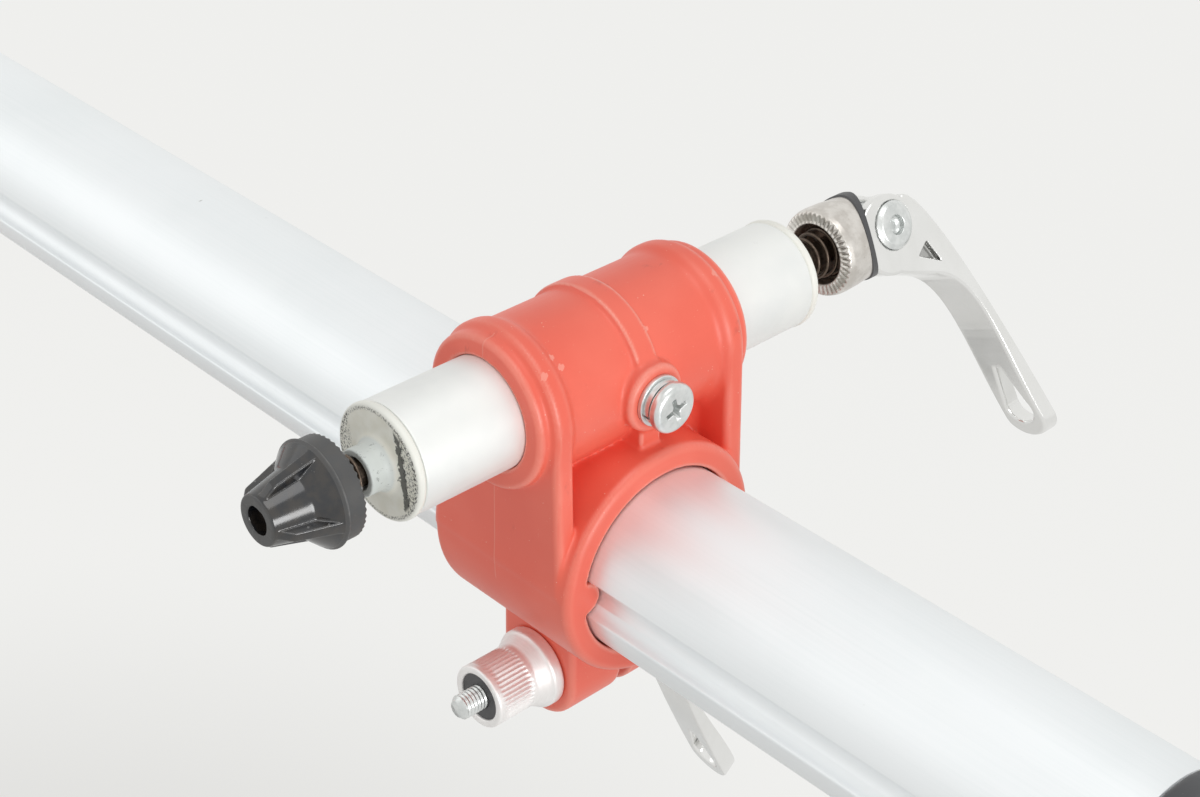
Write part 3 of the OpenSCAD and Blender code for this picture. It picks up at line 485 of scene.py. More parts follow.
@dataclass(frozen=True)
class WornSteel(Finish):
    """Plated steel of the cam cup: grey and scratched outside, brown with rust in its bore."""

    centre: Vector = field(default_factory=lambda: HUB.copy())
    bore: float = 6.4

    def work(self, graph: Graph) -> bpy.types.Material:
        """Fills the graph.

        Args:
            graph: The material's empty graph.

        Returns:
            The material.
        """
        spot = graph.shift(graph.place(), self.centre)
        along_x, along_y, along_z = graph.split(spot)
        radius = (along_x * along_x + along_z * along_z) ** 0.5
        patch = graph.noise(spot, 0.3, 4.0, 0.6)
        colour = graph.mix(paint(200, 195, 189), paint(222, 218, 213), patch.ease(0.35, 0.65))
        pits = graph.noise(spot, 1.6, 4.0, 0.7).ease(0.6, 0.74)
        colour = graph.mix(colour, paint(140, 126, 114), pits * 0.4)
        nose = along_y.ease(27.9, 26.9) * radius.ease(6.4, 6.8)
        colour = graph.mix(colour, paint(120, 116, 112), nose * 0.45)
        inside = radius.ease(self.bore + 0.25, self.bore - 0.15)
        rust = graph.mix(paint(82, 58, 42), paint(128, 92, 66), patch.ease(0.4, 0.6))
        colour = graph.mix(colour, rust, inside * 0.85)
        rough = 0.3 + pits * 0.15 + inside * 0.3 + (patch - 0.5) * 0.1
        return graph.surface(colour, rough, 0.9 - inside * 0.5, height=patch, lift=0.01)


@dataclass(frozen=True)
class BlackNut(Finish):
    """The fork nut: glossy on its cone and fins, matt and dusty on its flange, with painted reflection
    tints and painted highlights on its edges.
    """

    def work(self, graph: Graph) -> bpy.types.Material:
        """Fills the graph.

        Args:
            graph: The material's empty graph.

        Returns:
            The material.
        """
        spot = graph.shift(graph.place(), HUB)
        along_x, along_y, along_z = graph.split(spot)
        radius = (along_x * along_x + along_z * along_z) ** 0.5
        flange = along_y.ease(-64.65, -64.4) * radius.ease(8.9, 9.2)
        tip = along_y.ease(-75.2, -75.5)
        matt = flange.high(tip)
        # Painted reflection: bluish and brownish clouds stand in for reflections of the room.
        cloud = graph.noise(spot, 0.5, 4.0)
        colour = graph.mix(paint(20, 23, 29), paint(44, 40, 37), cloud.ease(0.35, 0.65))
        colour = graph.mix(colour, paint(76, 76, 76), matt * 0.55)
        # Painted highlight: sharp edges are paled toward grey.
        edge = graph.edges().ease(0.52, 0.58)
        colour = graph.mix(colour, paint(150, 150, 150), edge * 0.45)
        dust = graph.specks(spot, 2.2, 0.15, 0.03)
        colour = graph.mix(colour, paint(170, 165, 160), dust * 0.8)
        fine = graph.noise(spot, 4.0, 3.0)
        rough = 0.17 + matt * 0.32 + (cloud - 0.5) * 0.08 + dust * 0.3
        return graph.surface(colour, rough, height=fine * (0.1 + matt), lift=0.01, IOR=1.7)


class Kind(Enum):
    """Every finish on the stand."""

    # The third, lighter colour of each moulding is the tone of its painted edge highlight.
    RED = Moulding(
        "red_moulded_plastic", tone=paint(243, 114, 94), deep=paint(238, 104, 84),
        wear_and_edge_highlight=paint(250, 168, 152),
        dust=paint(248, 214, 200), dusty=0.05, smudge=paint(120, 44, 40), smudged=0.3, gloss=0.4,
        seam_x=SLIDER.x)
    RED_PLAIN = Moulding(
        "red_moulded_castings", tone=paint(243, 114, 94), deep=paint(238, 104, 84),
        wear_and_edge_highlight=paint(250, 168, 152),
        dust=paint(248, 214, 200), dusty=0.03, smudge=paint(120, 44, 40), smudged=0.25, gloss=0.38)
    BLACK = Moulding(
        "black_moulded_plastic", tone=paint(50, 50, 52), deep=paint(36, 36, 38),
        wear_and_edge_highlight=paint(86, 86, 88),
        dust=paint(150, 148, 145), dusty=0.03, smudge=paint(80, 78, 76), smudged=0.2, gloss=0.5,
        grain=0.04)
    CAP = Moulding(
        "dark_grey_cap_plastic", tone=paint(74, 75, 78), deep=paint(58, 59, 62),
        wear_and_edge_highlight=paint(112, 112, 114),
        dust=paint(160, 158, 155), dusty=0.04, smudge=paint(40, 40, 40), smudged=0.2, gloss=0.45,
        grain=0.04)
    RUBBER = Moulding(
        "black_rubber", tone=paint(44, 43, 43), deep=paint(30, 30, 30), wear_and_edge_highlight=paint(70, 69, 68),
        dust=paint(140, 136, 130), dusty=0.05, smudge=paint(90, 86, 80), smudged=0.3, gloss=0.78,
        grain=0.08)
    BEAM = Satin(
        "anodised_beam_tube", tone=paint(243, 246, 248), deep=paint(238, 242, 244),
        gloss=0.47, metal=0.72,
        streaks=(0.015, 2.0, 2.0), streaked=0.02, nicked=0.01, relief=0.001)
    TUBE = Satin(
        "anodised_stand_tube", tone=paint(222, 226, 229), deep=paint(210, 214, 217),
        gloss=0.4, metal=0.8,
        streaks=(3.0, 3.0, 0.02), streaked=0.06, nicked=0.012)
    LEVER = Satin(
        "polished_lever_alloy", tone=paint(234, 234, 233), deep=paint(226, 226, 224),
        gloss=0.16, metal=0.95,
        streaks=(0.1, 0.2, 0.1), streaked=0.03, nicked=0.006, relief=0.001, shaded_hollows=True)
    NUT = Satin(
        "turned_nut_alloy", tone=paint(249, 247, 246), deep=paint(238, 235, 234),
        gloss=0.45, metal=0.6,
        streaks=(0.5, 5.0, 0.5), streaked=0.05, nicked=0.012, relief=0.002)
    ZINC = Satin(
        "zinc_plated_screws", tone=paint(226, 228, 227), deep=paint(206, 209, 208),
        gloss=0.3, metal=0.85,
        streaks=(0.8, 0.8, 0.8), streaked=0.05, nicked=0.012, cloudy=0.2, relief=0.003)
    SPRING = Satin(
        "browned_spring_steel", tone=paint(112, 98, 86), deep=paint(62, 52, 46),
        gloss=0.34, metal=0.85,
        streaks=(2.0, 2.0, 2.0), streaked=0.15, nicked=0.06)
    CHROME = Satin(
        "bright_plated_rod", tone=paint(222, 224, 226), deep=paint(200, 202, 206),
        gloss=0.08, metal=1.0,
        streaks=(2.0, 2.0, 0.1), streaked=0.02, nicked=0.01)
    BRASS = Satin(
        "turned_brass", tone=paint(214, 184, 112), deep=paint(178, 146, 84), gloss=0.25, metal=1.0,
        streaks=(4.0, 4.0, 4.0), streaked=0.08, nicked=0.02)
    HUB = HubTube("blasted_hub_tube")
    PLUG = ScuffedNylon("scuffed_cream_nylon")
    CUP = WornSteel("worn_cup_steel")
    GLOSS = BlackNut("glossy_black_nut")


# --- Meshes -------------------------------------------------------------------------------


@dataclass
class Shape:
    """Points in millimetres and the faces between them."""

    points: Array
    faces: Array | list
    # 1 where the finish paints shade into a hollow, 0 elsewhere.
    hollow_shade: Array | None = None

    def moved(self, matrix: Matrix) -> "Shape":
        """The same shape in another place.

        Args:
            matrix: The move, which may mirror it.

        Returns:
            The moved shape.
        """
        turn = np.array(matrix)[:3, :3]
        shift = np.array(matrix)[:3, 3]
        faces = self.faces
        if matrix.determinant() < 0:
            faces = [face[::-1] for face in faces]
        return Shape(self.points @ turn.T + shift, faces, self.hollow_shade)

    def __add__(self, other: "Shape") -> "Shape":
        """Two shapes as one.

        Args:
            other: The second shape.

        Returns:
            Both together.
        """
        start = len(self.points)
        faces = [list(face) for face in self.faces]
        faces += [[v + start for v in face] for face in other.faces]
        return Shape(np.vstack((self.points, other.points)), faces)


def bend(
    start: Sequence[float], corner: Sequence[float], end: Sequence[float], shares: Sequence[float],
) -> list[Point]:
    """Points of a curve that leans toward a corner.

    Args:
        start: Where it starts.
        corner: What it leans toward.
        end: Where it ends.
        shares: Where on its way the points are, from 0 to 1.

    Returns:
        The points.
    """
    a, b, c = np.array(start), np.array(corner), np.array(end)
    return [tuple((1 - t) ** 2 * a + 2 * t * (1 - t) * b + t * t * c) for t in shares]


def fillet(
    points: Sequence[Point], radius: float, steps: int = 5, sharp: float = 12.0,
) -> list[Point]:
    """Rounds the inner corners of an open line of points.

    Args:
        points: The corners.
        radius: Wanted distance from a corner at which its rounding starts.
        steps: Points that replace a corner.
        sharp: Corners that turn by fewer degrees stay.

    Returns:
        The rounded line.
    """
    line = [points[0]]
    for before, corner, after in zip(points, points[1:], points[2:]):
        a, b, c = (np.array(p, float) for p in (before, corner, after))
        into, out = a - b, c - b
        reach = min(radius, np.linalg.norm(into) / 2.05, np.linalg.norm(out) / 2.05)
        into, out = into / np.linalg.norm(into), out / np.linalg.norm(out)
        if math.degrees(math.acos(float(np.clip(-into @ out, -1, 1)))) < sharp:
            line.append(corner)
            continue
        start, end = b + into * reach, b + out * reach
        line += bend(start, b, end, [i / steps for i in range(steps + 1)])
    line.append(points[-1])
    return line


def wound(rows: int, sides: int, ring: bool = False) -> list[list[int]]:
    """Faces between rows of points that each go round an axis.

    Args:
        rows: Number of rows.
        sides: Points in a row.
        ring: True where the last row joins the first, otherwise both ends are closed.

    Returns:
        The faces.
    """
    faces = []
    for i in range(rows if ring else rows - 1):
        a, b = i * sides, (i + 1) % rows * sides
        for j in range(sides):
            k = (j + 1) % sides
            faces.append([a + j, a + k, b + k, b + j])
    if not ring:
        faces.append(list(range(sides))[::-1])
        faces.append([(rows - 1) * sides + j for j in range(sides)])
    return faces


Ripple = Callable[[Array, Array, Array], tuple[Array, Array]]


def turned(
    profile: Sequence[Point], sides: int = 96, ripple: Ripple | None = None, ring: bool = False,
) -> Shape:
    """Turns a profile round the Y axis.

    Args:
        profile: Radius and Y of each point.
        sides: Points round the axis.
        ripple: Changes radius and Y by angle, for knurls, teeth and threads.
        ring: True where the last point joins the first.

    Returns:
        The turned shape.
    """
    rows = np.array(profile, float)
    angle = np.arange(sides) * (2 * math.pi / sides)
    radius = np.repeat(rows[:, :1], sides, axis=1)
    along = np.repeat(rows[:, 1:], sides, axis=1)
    if ripple:
        radius, along = ripple(radius, along, angle[None, :])
    points = np.stack((radius * np.cos(angle), along, radius * np.sin(angle)), axis=-1)
    return Shape(points.reshape(-1, 3), wound(len(rows), sides, ring))


def swept(path: Array, radius: float, sides: int = 10) -> Shape:
    """A round wire along a path, closed at both ends.

    Args:
        path: Points of its middle line.
        radius: Radius of the wire.
        sides: Points round the wire.

    Returns:
        The wire.
    """
    tangent = np.gradient(path, axis=0)
    tangent /= np.linalg.norm(tangent, axis=1)[:, None]
    side = np.cross(tangent[0], (0.3, 0.9, 0.2))
    rings = []
    for spot, way in zip(path, tangent):
        side = side - way * (side @ way)
        side /= np.linalg.norm(side)
        up = np.cross(way, side)
        turn = np.arange(sides) * 2 * math.pi / sides
        rings.append(spot + radius * (np.cos(turn)[:, None] * side + np.sin(turn)[:, None] * up))
    return Shape(np.vstack(rings), wound(len(path), sides))


def drawn(outline: Sequence[Point], start: float, end: float, bevel: float = 0.3) -> Shape:
    """Extrudes an outline in Y and Z along X, with eased ends.

    Args:
        outline: The closed outline, counter-clockwise.
        start: First X.
        end: Last X.
        bevel: Size of the eased ends.

    Returns:
        The bar.
    """
    flat = np.array(outline, float)
    middle = flat.mean(axis=0)
    inner = middle + (flat - middle) * (1 - bevel / np.linalg.norm(flat - middle, axis=1)[:, None])
    rows = [(start, inner), (start + bevel, flat), (end - bevel, flat), (end, inner)]
    points = np.vstack([np.column_stack((np.full(len(flat), x), line)) for x, line in rows])
    return Shape(points, wound(len(rows), len(flat)))


class Bench:
    """A block of grid points on which a moulding is shaped from distances, in millimetres."""

    def __init__(self, low: Sequence[float], high: Sequence[float], pitch: float) -> None:
        """Lays out the grid.

        Args:
            low: Lowest corner of what is shaped.
            high: Highest corner.
            pitch: Distance between grid points.
        """
        self.pitch = pitch
        self.low = np.array(low, float) - 3 * pitch
        counts = [int((b - a) / pitch) + 8 for a, b in zip(low, high)]
        x, y, z = (np.arange(n, dtype=np.float32) * pitch + a for n, a in zip(counts, self.low))
        self.x, self.y, self.z = x[:, None, None], y[None, :, None], z[None, None, :]
        self.shape = tuple(counts)

    def cast(self, distance: Array) -> Shape:
        """Makes the surface where the distance is 0, with its points drawn onto it.

        Args:
            distance: Distance on the grid, below 0 inside.

        Returns:
            The surface.
        """
        far = 3 * self.pitch
        full = np.broadcast_to(distance, self.shape).astype(np.float32)
        grid = openvdb.FloatGrid(far)
        grid.copyFromArray(np.clip(full, -far, far))
        points, quads = grid.convertToQuads(0.0)
        for _ in range(2):
            points = self._settle(full, points)
        return Shape(points * self.pitch + self.low, quads)

    def _settle(self, full: Array, points: Array) -> Array:
        """Moves points along the slope of the distance until it is nearly 0.

        Args:
            full: Distance on the whole grid.
            points: Points in grid steps.

        Returns:
            The moved points.
        """
        limit = np.array(self.shape) - 2

        def read(spots: Array) -> Array:
            """The distance between grid points.

            Args:
                spots: Places in grid steps.

            Returns:
                The distance at them, in grid steps.
            """
            spots = np.clip(spots, 0, limit)
            cell = spots.astype(int)
            rest = spots - cell
            total = np.zeros(len(spots))
            for i in (0, 1):
                for j in (0, 1):
                    for k in (0, 1):
                        weight = (np.abs(1 - i - rest[:, 0]) * np.abs(1 - j - rest[:, 1])
                                  * np.abs(1 - k - rest[:, 2]))
                        total += weight * full[cell[:, 0] + i, cell[:, 1] + j, cell[:, 2] + k]
            return total / self.pitch

        here = read(points)
        slope = np.stack(
            [read(points + step) - read(points - step) for step in np.eye(3) * 0.5], axis=1)
        size = np.maximum((slope ** 2).sum(axis=1), 0.25)
        move = -(here / size)[:, None] * slope
        return points + np.clip(move, -0.4, 0.4)


def rod(first: Array, second: Array, radius: float, at: Point = (0.0, 0.0)) -> Array:
    """Distance from a round bar across two coordinates."""
    return np.sqrt((first - at[0]) ** 2 + (second - at[1]) ** 2) - radius


def slab(value: Array, low: float, high: float) -> Array:
    """Distance from the space between two planes."""
    return np.maximum(low - value, value - high)


def join(first: Array, second: Array, radius: float = 0.0) -> Array:
    """Both solids, with a fillet where they meet.

    Args:
        first: Distance from one solid.
        second: Distance from the other.
        radius: Radius of the fillet.

    Returns:
        The distance from both.
    """
    if not radius:
        return np.minimum(first, second)
    a, b = np.maximum(radius - first, 0), np.maximum(radius - second, 0)
    return np.maximum(radius, np.minimum(first, second)) - np.sqrt(a * a + b * b)


def meet(first: Array, second: Array, radius: float = 0.0) -> Array:
    """What two solids share, with its edge rounded.

    Args:
        first: Distance from one solid.
        second: Distance from the other.
        radius: Radius of the edge.

    Returns:
        The distance from what they share.
    """
    if not radius:
        return np.maximum(first, second)
    a, b = np.maximum(radius + first, 0), np.maximum(radius + second, 0)
    return np.minimum(-radius, np.maximum(first, second)) + np.sqrt(a * a + b * b)


def cut(first: Array, second: Array, radius: float = 0.0) -> Array:
    """The first solid without the second, with the cut's edge rounded."""
    return meet(first, -second, radius)


def outline(first: Array, second: Array, points: Sequence[Point]) -> Array:
    """Distance from a closed outline, below 0 inside.

    Args:
        first: First coordinate on the grid.
        second: Second coordinate on the grid.
        points: The corners.

    Returns:
        The signed distance.
    """
    shape = np.broadcast_shapes(first.shape, second.shape)
    best = np.full(shape, 1e9, np.float32)
    inside = np.zeros(shape, bool)
    for (ax, ay), (bx, by) in zip(points, [*points[1:], points[0]]):
        ex, ey = bx - ax, by - ay
        px, py = first - ax, second - ay
        share = np.clip((px * ex + py * ey) / (ex * ex + ey * ey), 0, 1)
        best = np.minimum(best, (px - ex * share) ** 2 + (py - ey * share) ** 2)
        if ay != by:
            crosses = ((ay > second) != (by > second)) & (first < ex * (second - ay) / ey + ax)
            inside ^= crosses
    return np.where(inside, -1, 1) * np.sqrt(best)


def eased_copy(node: str, radius: float, pitch: float, cove: float = 0.0) -> Shape:
    """A CAD solid worked again with its edges rounded.

    Args:
        node: The CAD node.
        radius: Radius of its outer edges.
        pitch: Fineness of the work.
        cove: Radius of its inner corners.

    Returns:
        The rounded solid, in the row frame.
    """
    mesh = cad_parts[node].data
    points = np.empty(len(mesh.vertices) * 3, np.float32)
    mesh.vertices.foreach_get("co", points)
    points = points.reshape(-1, 3) * 1000
    low, high = points.min(axis=0), points.max(axis=0)
    mesh.calc_loop_triangles()
    faces = np.empty(len(mesh.loop_triangles) * 3, np.int32)
    mesh.loop_triangles.foreach_get("vertices", faces)
    scale = openvdb.createLinearTransform(voxelSize=pitch)
    sizes = [-radius, radius + cove, -cove] if cove else [-radius, radius]
    offsets = [value for value in sizes if value]
    grid = openvdb.FloatGrid.createLevelSetFromPolygons(
        points, triangles=faces.reshape(-1, 3), transform=scale,
        halfWidth=max(map(abs, offsets)) / pitch + 2)
    for i, offset in enumerate(offsets):
        points, quads = grid.convertToQuads(offset)
        if i < len(offsets) - 1:
            grid = openvdb.FloatGrid.createLevelSetFromPolygons(
                points, quads=quads, transform=scale, halfWidth=max(map(abs, offsets)) / pitch + 2)
    return Shape(np.clip(points, low, high).astype(float), quads)


def piece(
    name: str, shape: Shape, kind: Kind, body: str, stands_for: Sequence[str], slot: str,
    smooth: float = 38.0,
) -> bpy.types.Object:
    """Makes a piece of the stand.

    Args:
        name: The piece's name.
        shape: Its shape, in the row frame.
        kind: Its finish.
        body: The body that it rides on.
        stands_for: The CAD nodes that it replaces.
        slot: Not used.
        smooth: Edges that turn by more degrees stay sharp.

    Returns:
        The piece.
    """
    mesh = bpy.data.meshes.new(name)
    faces = shape.faces.tolist() if isinstance(shape.faces, np.ndarray) else shape.faces
    mesh.from_pydata((shape.points * MM).tolist(), [], faces)
    if not isinstance(shape.faces, np.ndarray):
        work = bmesh.new()
        work.from_mesh(mesh)
        bmesh.ops.recalc_face_normals(work, faces=work.faces)
        work.to_mesh(mesh)
        work.free()
    # The painted-shade mask is stored as a point attribute.
    if shape.hollow_shade is not None:
        mesh.attributes.new("hollow_shade", "FLOAT", "POINT").data.foreach_set(
            "value", shape.hollow_shade.astype(np.float32))
    mesh.validate()
    mesh.shade_smooth()
    mesh.set_sharp_from_angle(angle=math.radians(smooth))
    mesh.materials.append(kind.value.material())
    made = bpy.data.objects.new(name, mesh)
    bpy.context.scene.collection.objects.link(made)
    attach(made, body)
    if stands_for:
        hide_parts(*stands_for)
    return made


def dressed(node: str, kind: Kind) -> bpy.types.Object:
    """Gives its finish to a CAD node that is shown as it is.

    Args:
        node: The node.
        kind: Its finish.

    Returns:
        The node's object.
    """
    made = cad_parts[node]
    made.data.materials.clear()
    made.data.materials.append(kind.value.material())
    return made


def teeth(count: int, angle: Array) -> Array:
    """A row of V teeth round an axis, from 0 to 1."""
    share = (angle * count / (2 * math.pi)) % 1.0
    return 1 - np.abs(2 * share - 1)


# --- Sub-assemblies -----------------------------------------------------------------------


class Assembly:
    """A sub-assembly of the stand."""

    def build(self) -> Iterator[bpy.types.Object]:
        """Makes its pieces.

        Returns:
            The pieces, one after the other.
        """
        raise NotImplementedError


@dataclass
class ForkSlider(Assembly):
    """The red moulding that slides on the beam and holds the dummy hub."""

    ring: float = 23.75
    ring_front: float = 19.8
    ring_rear: float = 17.8
    hub_height: float = HUB_HEIGHT
    plate: float = 4.4
    plate_top: float = 16.0
    plate_forward: float = 0.4
    plate_foot: float = 17.8
    barrel: float = 14.7
    rib: float = 16.0
    rib_half: float = 2.5
    collar: float = 15.0
    collar_height: float = 2.5
    boss: float = 6.7
    boss_face: float = 17.15
    web_half: float = 7.5
    ear: float = 10.0
    ear_drop: float = 30.6
    ear_face: float = 13.0
    slot_middle: float = 1.7
    slot_half: float = 1.6
    mouth: float = 19.1
    key: float = 3.4
    key_out: float = 18.95
    bore: float = 10.95
    bolt_drop: float = BOLT_DROP
    pitch: float = 0.45

    def tombstone(self, bench: Bench, top: float, foot: float, forward: float) -> Array:
        """Distance from an upright outline in X and Z with a round top.

        Args:
            bench: The grid.
            top: Radius of the top.
            foot: Half length at the beam's axis.
            forward: How far the top lies in front of the hub.

        Returns:
            The distance.
        """
        height = self.hub_height
        corners = [(forward - top, height), (-foot, 0.0), (foot, 0.0), (forward + top, height)]
        return join(
            rod(bench.x, bench.z, top, (forward, height)), outline(bench.x, bench.z, corners))

    def body(self) -> Shape:
        """The whole moulding.

        Returns:
            Its shape.
        """
        bench = Bench((-20, -28, -42), (21, 28, 52), self.pitch)
        x, y, z = bench.x, bench.y, bench.z
        wide = np.abs(y)
        at_hub = (0.0, self.hub_height)
        ring = meet(rod(y, z, self.ring), slab(x, -self.ring_rear, self.ring_front), 1.7)
        plates = meet(
            self.tombstone(bench, self.plate_top, self.plate_foot, self.plate_forward),
            slab(wide, self.ring - self.plate, self.ring), 1.35)
        inner = wide - self.ring + 2.9
        barrel = meet(rod(x, z, self.barrel, at_hub), inner)
        web = meet(meet(slab(x, -self.web_half, self.web_half), inner),
                   slab(z, 0, self.hub_height))
        middle = join(barrel, web, 2.0)
        rib = meet(self.tombstone(bench, self.rib, self.rib, 0.0), wide - self.rib_half, 0.5)
        boss = meet(rod(y, z, self.boss, at_hub), slab(x, 0, self.boss_face), 1.1)
        middle = join(middle, rib, 0.7)
        middle = join(middle, boss, 0.7)
        upper = join(middle, plates, 2.6)
        collars = meet(rod(x, z, self.collar, at_hub), wide - self.ring - self.collar_height, 1.3)
        upper = join(upper, collars, 0.5)
        ears = meet(
            join(rod(x, z, self.ear, (0.0, -self.ear_drop)),
                 meet(slab(x, -self.ear, self.ear), slab(z, -self.ear_drop, -10))),
            wide - self.ear_face, 1.2)
        whole = join(join(ring, upper, 0.6), ears, 1.0)
        mouth = cut(rod(y, z, self.mouth), np.minimum(
            rod(y, z, self.key, (self.key_out, 0.0)),
            rod(y, z, self.key, (-self.key_out, 0.0))), 0.4)
        whole = cut(whole, mouth, 0.5)
        whole = cut(whole, rod(x, z, self.bore, at_hub), 0.45)
        whole = cut(whole, rod(x, z, 2.55, (0.0, -self.bolt_drop)), 0.3)
        slot = meet(
            slab(y, self.slot_middle - self.slot_half, self.slot_middle + self.slot_half), z + 17)
        whole = cut(whole, slot, 0.45)
        screw = meet(rod(y, z, 2.6, at_hub), -x)
        return bench.cast(cut(whole, screw)).moved(Matrix.Translation(SLIDER))

    def build(self) -> Iterator[bpy.types.Object]:
        """Makes its pieces.

        Returns:
            The pieces, one after the other.
        """
        yield piece("fork_slider_moulding", self.body(), Kind.RED, "slider", ["slider_body"],
                    "red_plastic", 60)


@dataclass
class DummyHub(Assembly):
    """The tube that stands in for a front hub, with its end plugs and its screw."""

    tube: float = 10.9
    tube_half: float = 48.1
    rim: float = 11.1
    face: float = 50.0
    stub: float = 4.45
    stub_end: float = 54.8
    root: float = 2.0
    bore: float = 3.1
    screw_seat: float = 19.45

    def tube_shape(self) -> Shape:
        """The tube, with eased ends.

        Returns:
            Its shape round the hub.
        """
        half = self.tube_half
        profile = fillet([(9.1, -half), (self.tube, -half), (self.tube, half), (9.1, half)], 0.3)
        return turned(profile, 128, ring=True)

    def plug(self) -> Shape:
        """The left-hand plug's profile, turned: domed rim, flat face, flared stub.

        Returns:
            The plug at +Y.
        """
        face, stub = self.face, self.stub
        profile = fillet(
            [(9.0, 40.0), (9.0, self.tube_half), (self.rim, self.tube_half), (self.rim, face),
             (stub + self.root, face)],
            1.0, 6)
        for i in range(1, 7):
            a = math.radians(15 * i)
            profile.append((stub + self.root * (1 - math.sin(a)),
                            face + self.root * (1 - math.cos(a))))
        profile += fillet([(stub, face + self.root), (stub, self.stub_end),
                           (self.bore, self.stub_end),
                           (self.bore, 40.0)], 0.4)[1:]
        return turned(profile, 128, ring=True)

    def screw(self) -> Shape:
        """The pan head with its cross recess, pointing along X.

        Returns:
            Its shape.
        """
        seat = self.screw_seat
        bench = Bench((seat - 1, -5.2, -5.2), (seat + 3, 5.2, 5.2), 0.11)
        x, y, z = bench.x, bench.y, bench.z
        head = meet(rod(y, z, 4.9), slab(x, seat, seat + 2.7), 1.15)
        depth = np.clip((seat + 2.7 - x) / 2.0, 0, 1)
        arm = 2.5 - depth * 1.1
        thick = 0.5 - depth * 0.16
        cross = np.minimum(
            np.maximum(np.abs(y) - arm, np.abs(z) - thick),
            np.maximum(np.abs(z) - arm, np.abs(y) - thick))
        cross = np.minimum(cross, rod(y, z, 1.05) + depth * 0.5)
        head = cut(head, meet(cross, seat + 0.75 - x), 0.12)
        return bench.cast(head)

    def washers(self) -> Shape:
        """A plain washer and a split spring washer behind the head, pointing along X after a turn.

        Returns:
            Both washers.
        """
        plain = turned(fillet([(2.6, 0), (5.0, 0), (5.0, 1.0), (2.6, 1.0)], 0.25), 72, ring=True)
        rows = [(2.6, 1.05), (4.4, 1.05), (4.4, 2.25), (2.6, 2.25)]
        angles = np.radians(np.linspace(4, 356, 64))
        lift = np.linspace(-0.02, 0.04, 64)
        points = np.array([[r * math.cos(a), y + up, r * math.sin(a)]
                           for a, up in zip(angles, lift) for r, y in rows])
        faces = [[i * 4 + j, i * 4 + (j + 1) % 4, i * 4 + 4 + (j + 1) % 4, i * 4 + 4 + j]
                 for i in range(63) for j in range(4)]
        faces += [[0, 1, 2, 3], [252, 253, 254, 255]]
        both = plain + Shape(points, faces)
        return both.moved(Matrix.Rotation(math.radians(-90), 4, "Z"))

    def build(self) -> Iterator[bpy.types.Object]:
        """Makes its pieces.

        Returns:
            The pieces, one after the other.
        """
        there = Matrix.Translation(HUB)
        yield piece("hub_sleeve", self.tube_shape().moved(there), Kind.HUB, "slider", ["hub_tube"],
                    "hub_steel")
        plug = self.plug()
        other = plug.moved(Matrix.Scale(-1, 4, (0, 1, 0)))
        yield piece("hub_plugs", (plug + other).moved(there), Kind.PLUG, "slider",
                    ["hub_end_plugs"], "cream_nylon")
        spin = Matrix.Rotation(math.radians(18), 4, "X")
        yield piece("hub_cross_screw", self.screw().moved(there @ spin), Kind.ZINC, "slider",
                    ["hub_screw"], "zinc_steel", 50)
        seat = Matrix.Translation((17.15, 0, 0)) @ spin
        yield piece("hub_screw_rings", self.washers().moved(there @ seat), Kind.ZINC, "slider",
                    ["hub_screw_washers"], "zinc_steel")


